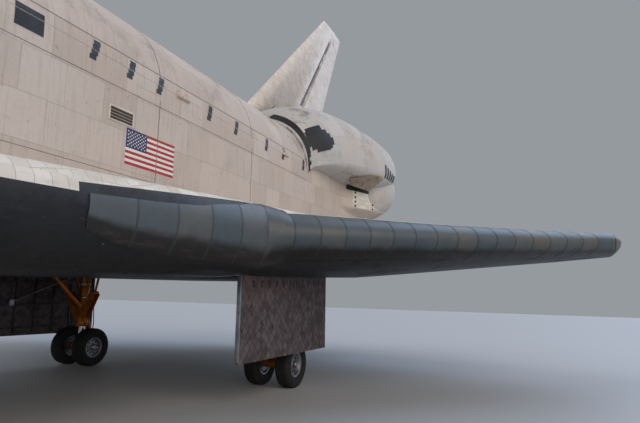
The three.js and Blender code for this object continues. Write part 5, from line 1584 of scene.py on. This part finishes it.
def door_radiators(side, word):
    """Silvered sheets inside a payload bay door."""
    radiators = bmesh.new()
    over = on_round(hull_section, side)
    for front, rear in RADIATOR_REACH:
        plate(radiators, over, np.linspace(front, rear, 6), np.linspace(10, 84, 20), low=-7.9, high=-6.6)
        for degrees in (14, 80):
            plate(radiators, over, np.linspace(front + 3, rear - 3, 6), span(degrees, 0.7), low=-8.9,
                  high=-7.8)
    finish(f"door_radiators_{word}", radiators, [RADIATOR], f"payload_bay_door_{word}")


# Ports that the base of the front edge reaches between, and the port where the tip's strip starts
EDGE_REACH, TIP_STRIP = (177.1, 468.2), 444


def leading_edges():
    """Twenty-two carbon panels a side on a tiled base, with a thin seal strip over each gap."""
    runs = np.concatenate([
        np.linspace(0, EDGE_RUNS[1], 6)[:-1], np.linspace(EDGE_RUNS[1], EDGE_RUNS[2], 18),
    ])
    rng = random.Random(7)
    around = np.linspace(-1, 1, 33)
    for side, word in SIDES:
        base, panels, seals = bmesh.new(), bmesh.new(), bmesh.new()
        spot, plain = square_to_edge(side), on_edge(side)
        plate(base, plain, np.linspace(*EDGE_REACH, 120), around, low=-1.6, high=0.0)
        shade = panels.verts.layers.float.new("shade")
        under = panels.verts.layers.float.new("under")
        strips = [(spot, np.linspace(a + 0.1, b - 0.1, 5), 0.3) for a, b in zip(runs, runs[1:])]
        strips.append((plain, np.linspace(TIP_STRIP, EDGE_REACH[1], 12), 0.14))
        for where, steps, high in strips:
            outer = plate(panels, where, steps, around, low=-0.6, high=high)
            made = rng.random()
            for k, v in enumerate(outer):
                v[shade] = made
                # under sets how strongly painted shade darkens each panel's lower half, stronger on the inner
                # panels.
                v[under] = max(-around[k % len(around)], 0) * (1.25 if steps[0] < EDGE_RUNS[1] - 5 else 1)
        for run in runs[1:-1]:
            for near in (run - 0.75, run + 0.4):
                plate(seals, spot, [near, near + 0.35], around, low=-0.3, high=0.38)
        finish(f"leading_edge_base_{word}", base, [WING_FINISH],
               replaced=(f"leading_edge_{word}",))
        finish(f"leading_edge_panels_{word}", panels, [CARBON])
        finish(f"leading_edge_seals_{word}", seals, [SEAL])


def wings():
    for _, word in SIDES:
        skin(f"wing_{word}", f"wing_skin_{word}", "airframe", [WING_FINISH])
        for place in ("inboard", "outboard"):
            node = f"elevon_{place}_{word}"
            skin(node, f"{node}_skin", node, [PANEL_FINISH])
    skin("body_flap", "body_flap_skin", "body_flap", [PANEL_FINISH])


def fin_pieces():
    skin("fin", "fin_skin", "airframe", [FIN_TILE])
    for _, word in SIDES:
        skin(f"rudder_panel_{word}", f"rudder_skin_{word}", f"rudder_panel_{word}", [FIN_TILE])


# Finishes of the CAD nodes that keep their own shape
KEPT_FINISHES = {
    "windshield": GLASS, "overhead_window": GLASS, "crew_hatch_window": GLASS,
    "flight_deck": DARK_METAL, "thrust_structure": BARE_METAL, "gimbal": BARE_METAL,
    "rudder_shaft": BARE_METAL,
}


def dress_kept_nodes():
    """Finishes for the CAD nodes that nothing replaces."""
    for name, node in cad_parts.items():
        if node.hide_render:
            continue
        material = next(m for start, m in KEPT_FINISHES.items() if name.startswith(start))
        node.data.materials.clear()
        node.data.materials.append(material)


# Name, heading and height in degrees, strength and colour
SOFT_LIGHTS = [("key", 52, 24, 1.4, "#FFF0E4"), ("fill", -50, 45, 0.5, "#E4EDFF"),
               ("back", 150, 42, 1.3, "#C4DCFF")]
FLOOR_HALF = 400


def studio():
    """A plain pale floor with plain soft light."""
    shape = bmesh.new()
    bmesh.ops.create_grid(shape, x_segments=1, y_segments=1, size=FLOOR_HALF)
    mesh = bpy.data.meshes.new("floor")
    shape.to_mesh(mesh)
    shape.free()
    material, tree = new_material("pale_floor")
    worn = add(tree, NOISE, {"Scale": 0.4, "Detail": 4}, out="Fac")
    colour = add(tree, MIX, {0: worn, 6: "#B9BBBD", 7: "#C4C5C5"}, 2, data_type="RGBA")
    close_material(tree, colour, 0.6)
    mesh.materials.append(material)
    floor = bpy.data.objects.new("floor", mesh)
    bpy.context.collection.objects.link(floor)
    world = bpy.data.worlds.new("studio")
    bpy.context.scene.world = world
    world.use_nodes = True
    world.node_tree.nodes["Background"].inputs["Color"].default_value = tone("#DDE3EA")
    world.node_tree.nodes["Background"].inputs["Strength"].default_value = 0.42
    for light in SOFT_LIGHTS:
        soft_light(*light)
    bpy.context.scene.view_settings.view_transform = "Standard"


place_camera()
studio()
fuselage()
leading_edges()
wings()
fin_pieces()
hatch_rings()
engines()
wheels()
nose_gear_fittings()
bay_fittings()
for side, word in SIDES:
    for pieces_of in (side_marks, nose_marks, pod_marks, tail_marks, wing_marks, orbital_bell, main_leg,
                      main_door, nose_door, door_radiators):
        pieces_of(side, word)
dress_kept_nodes()
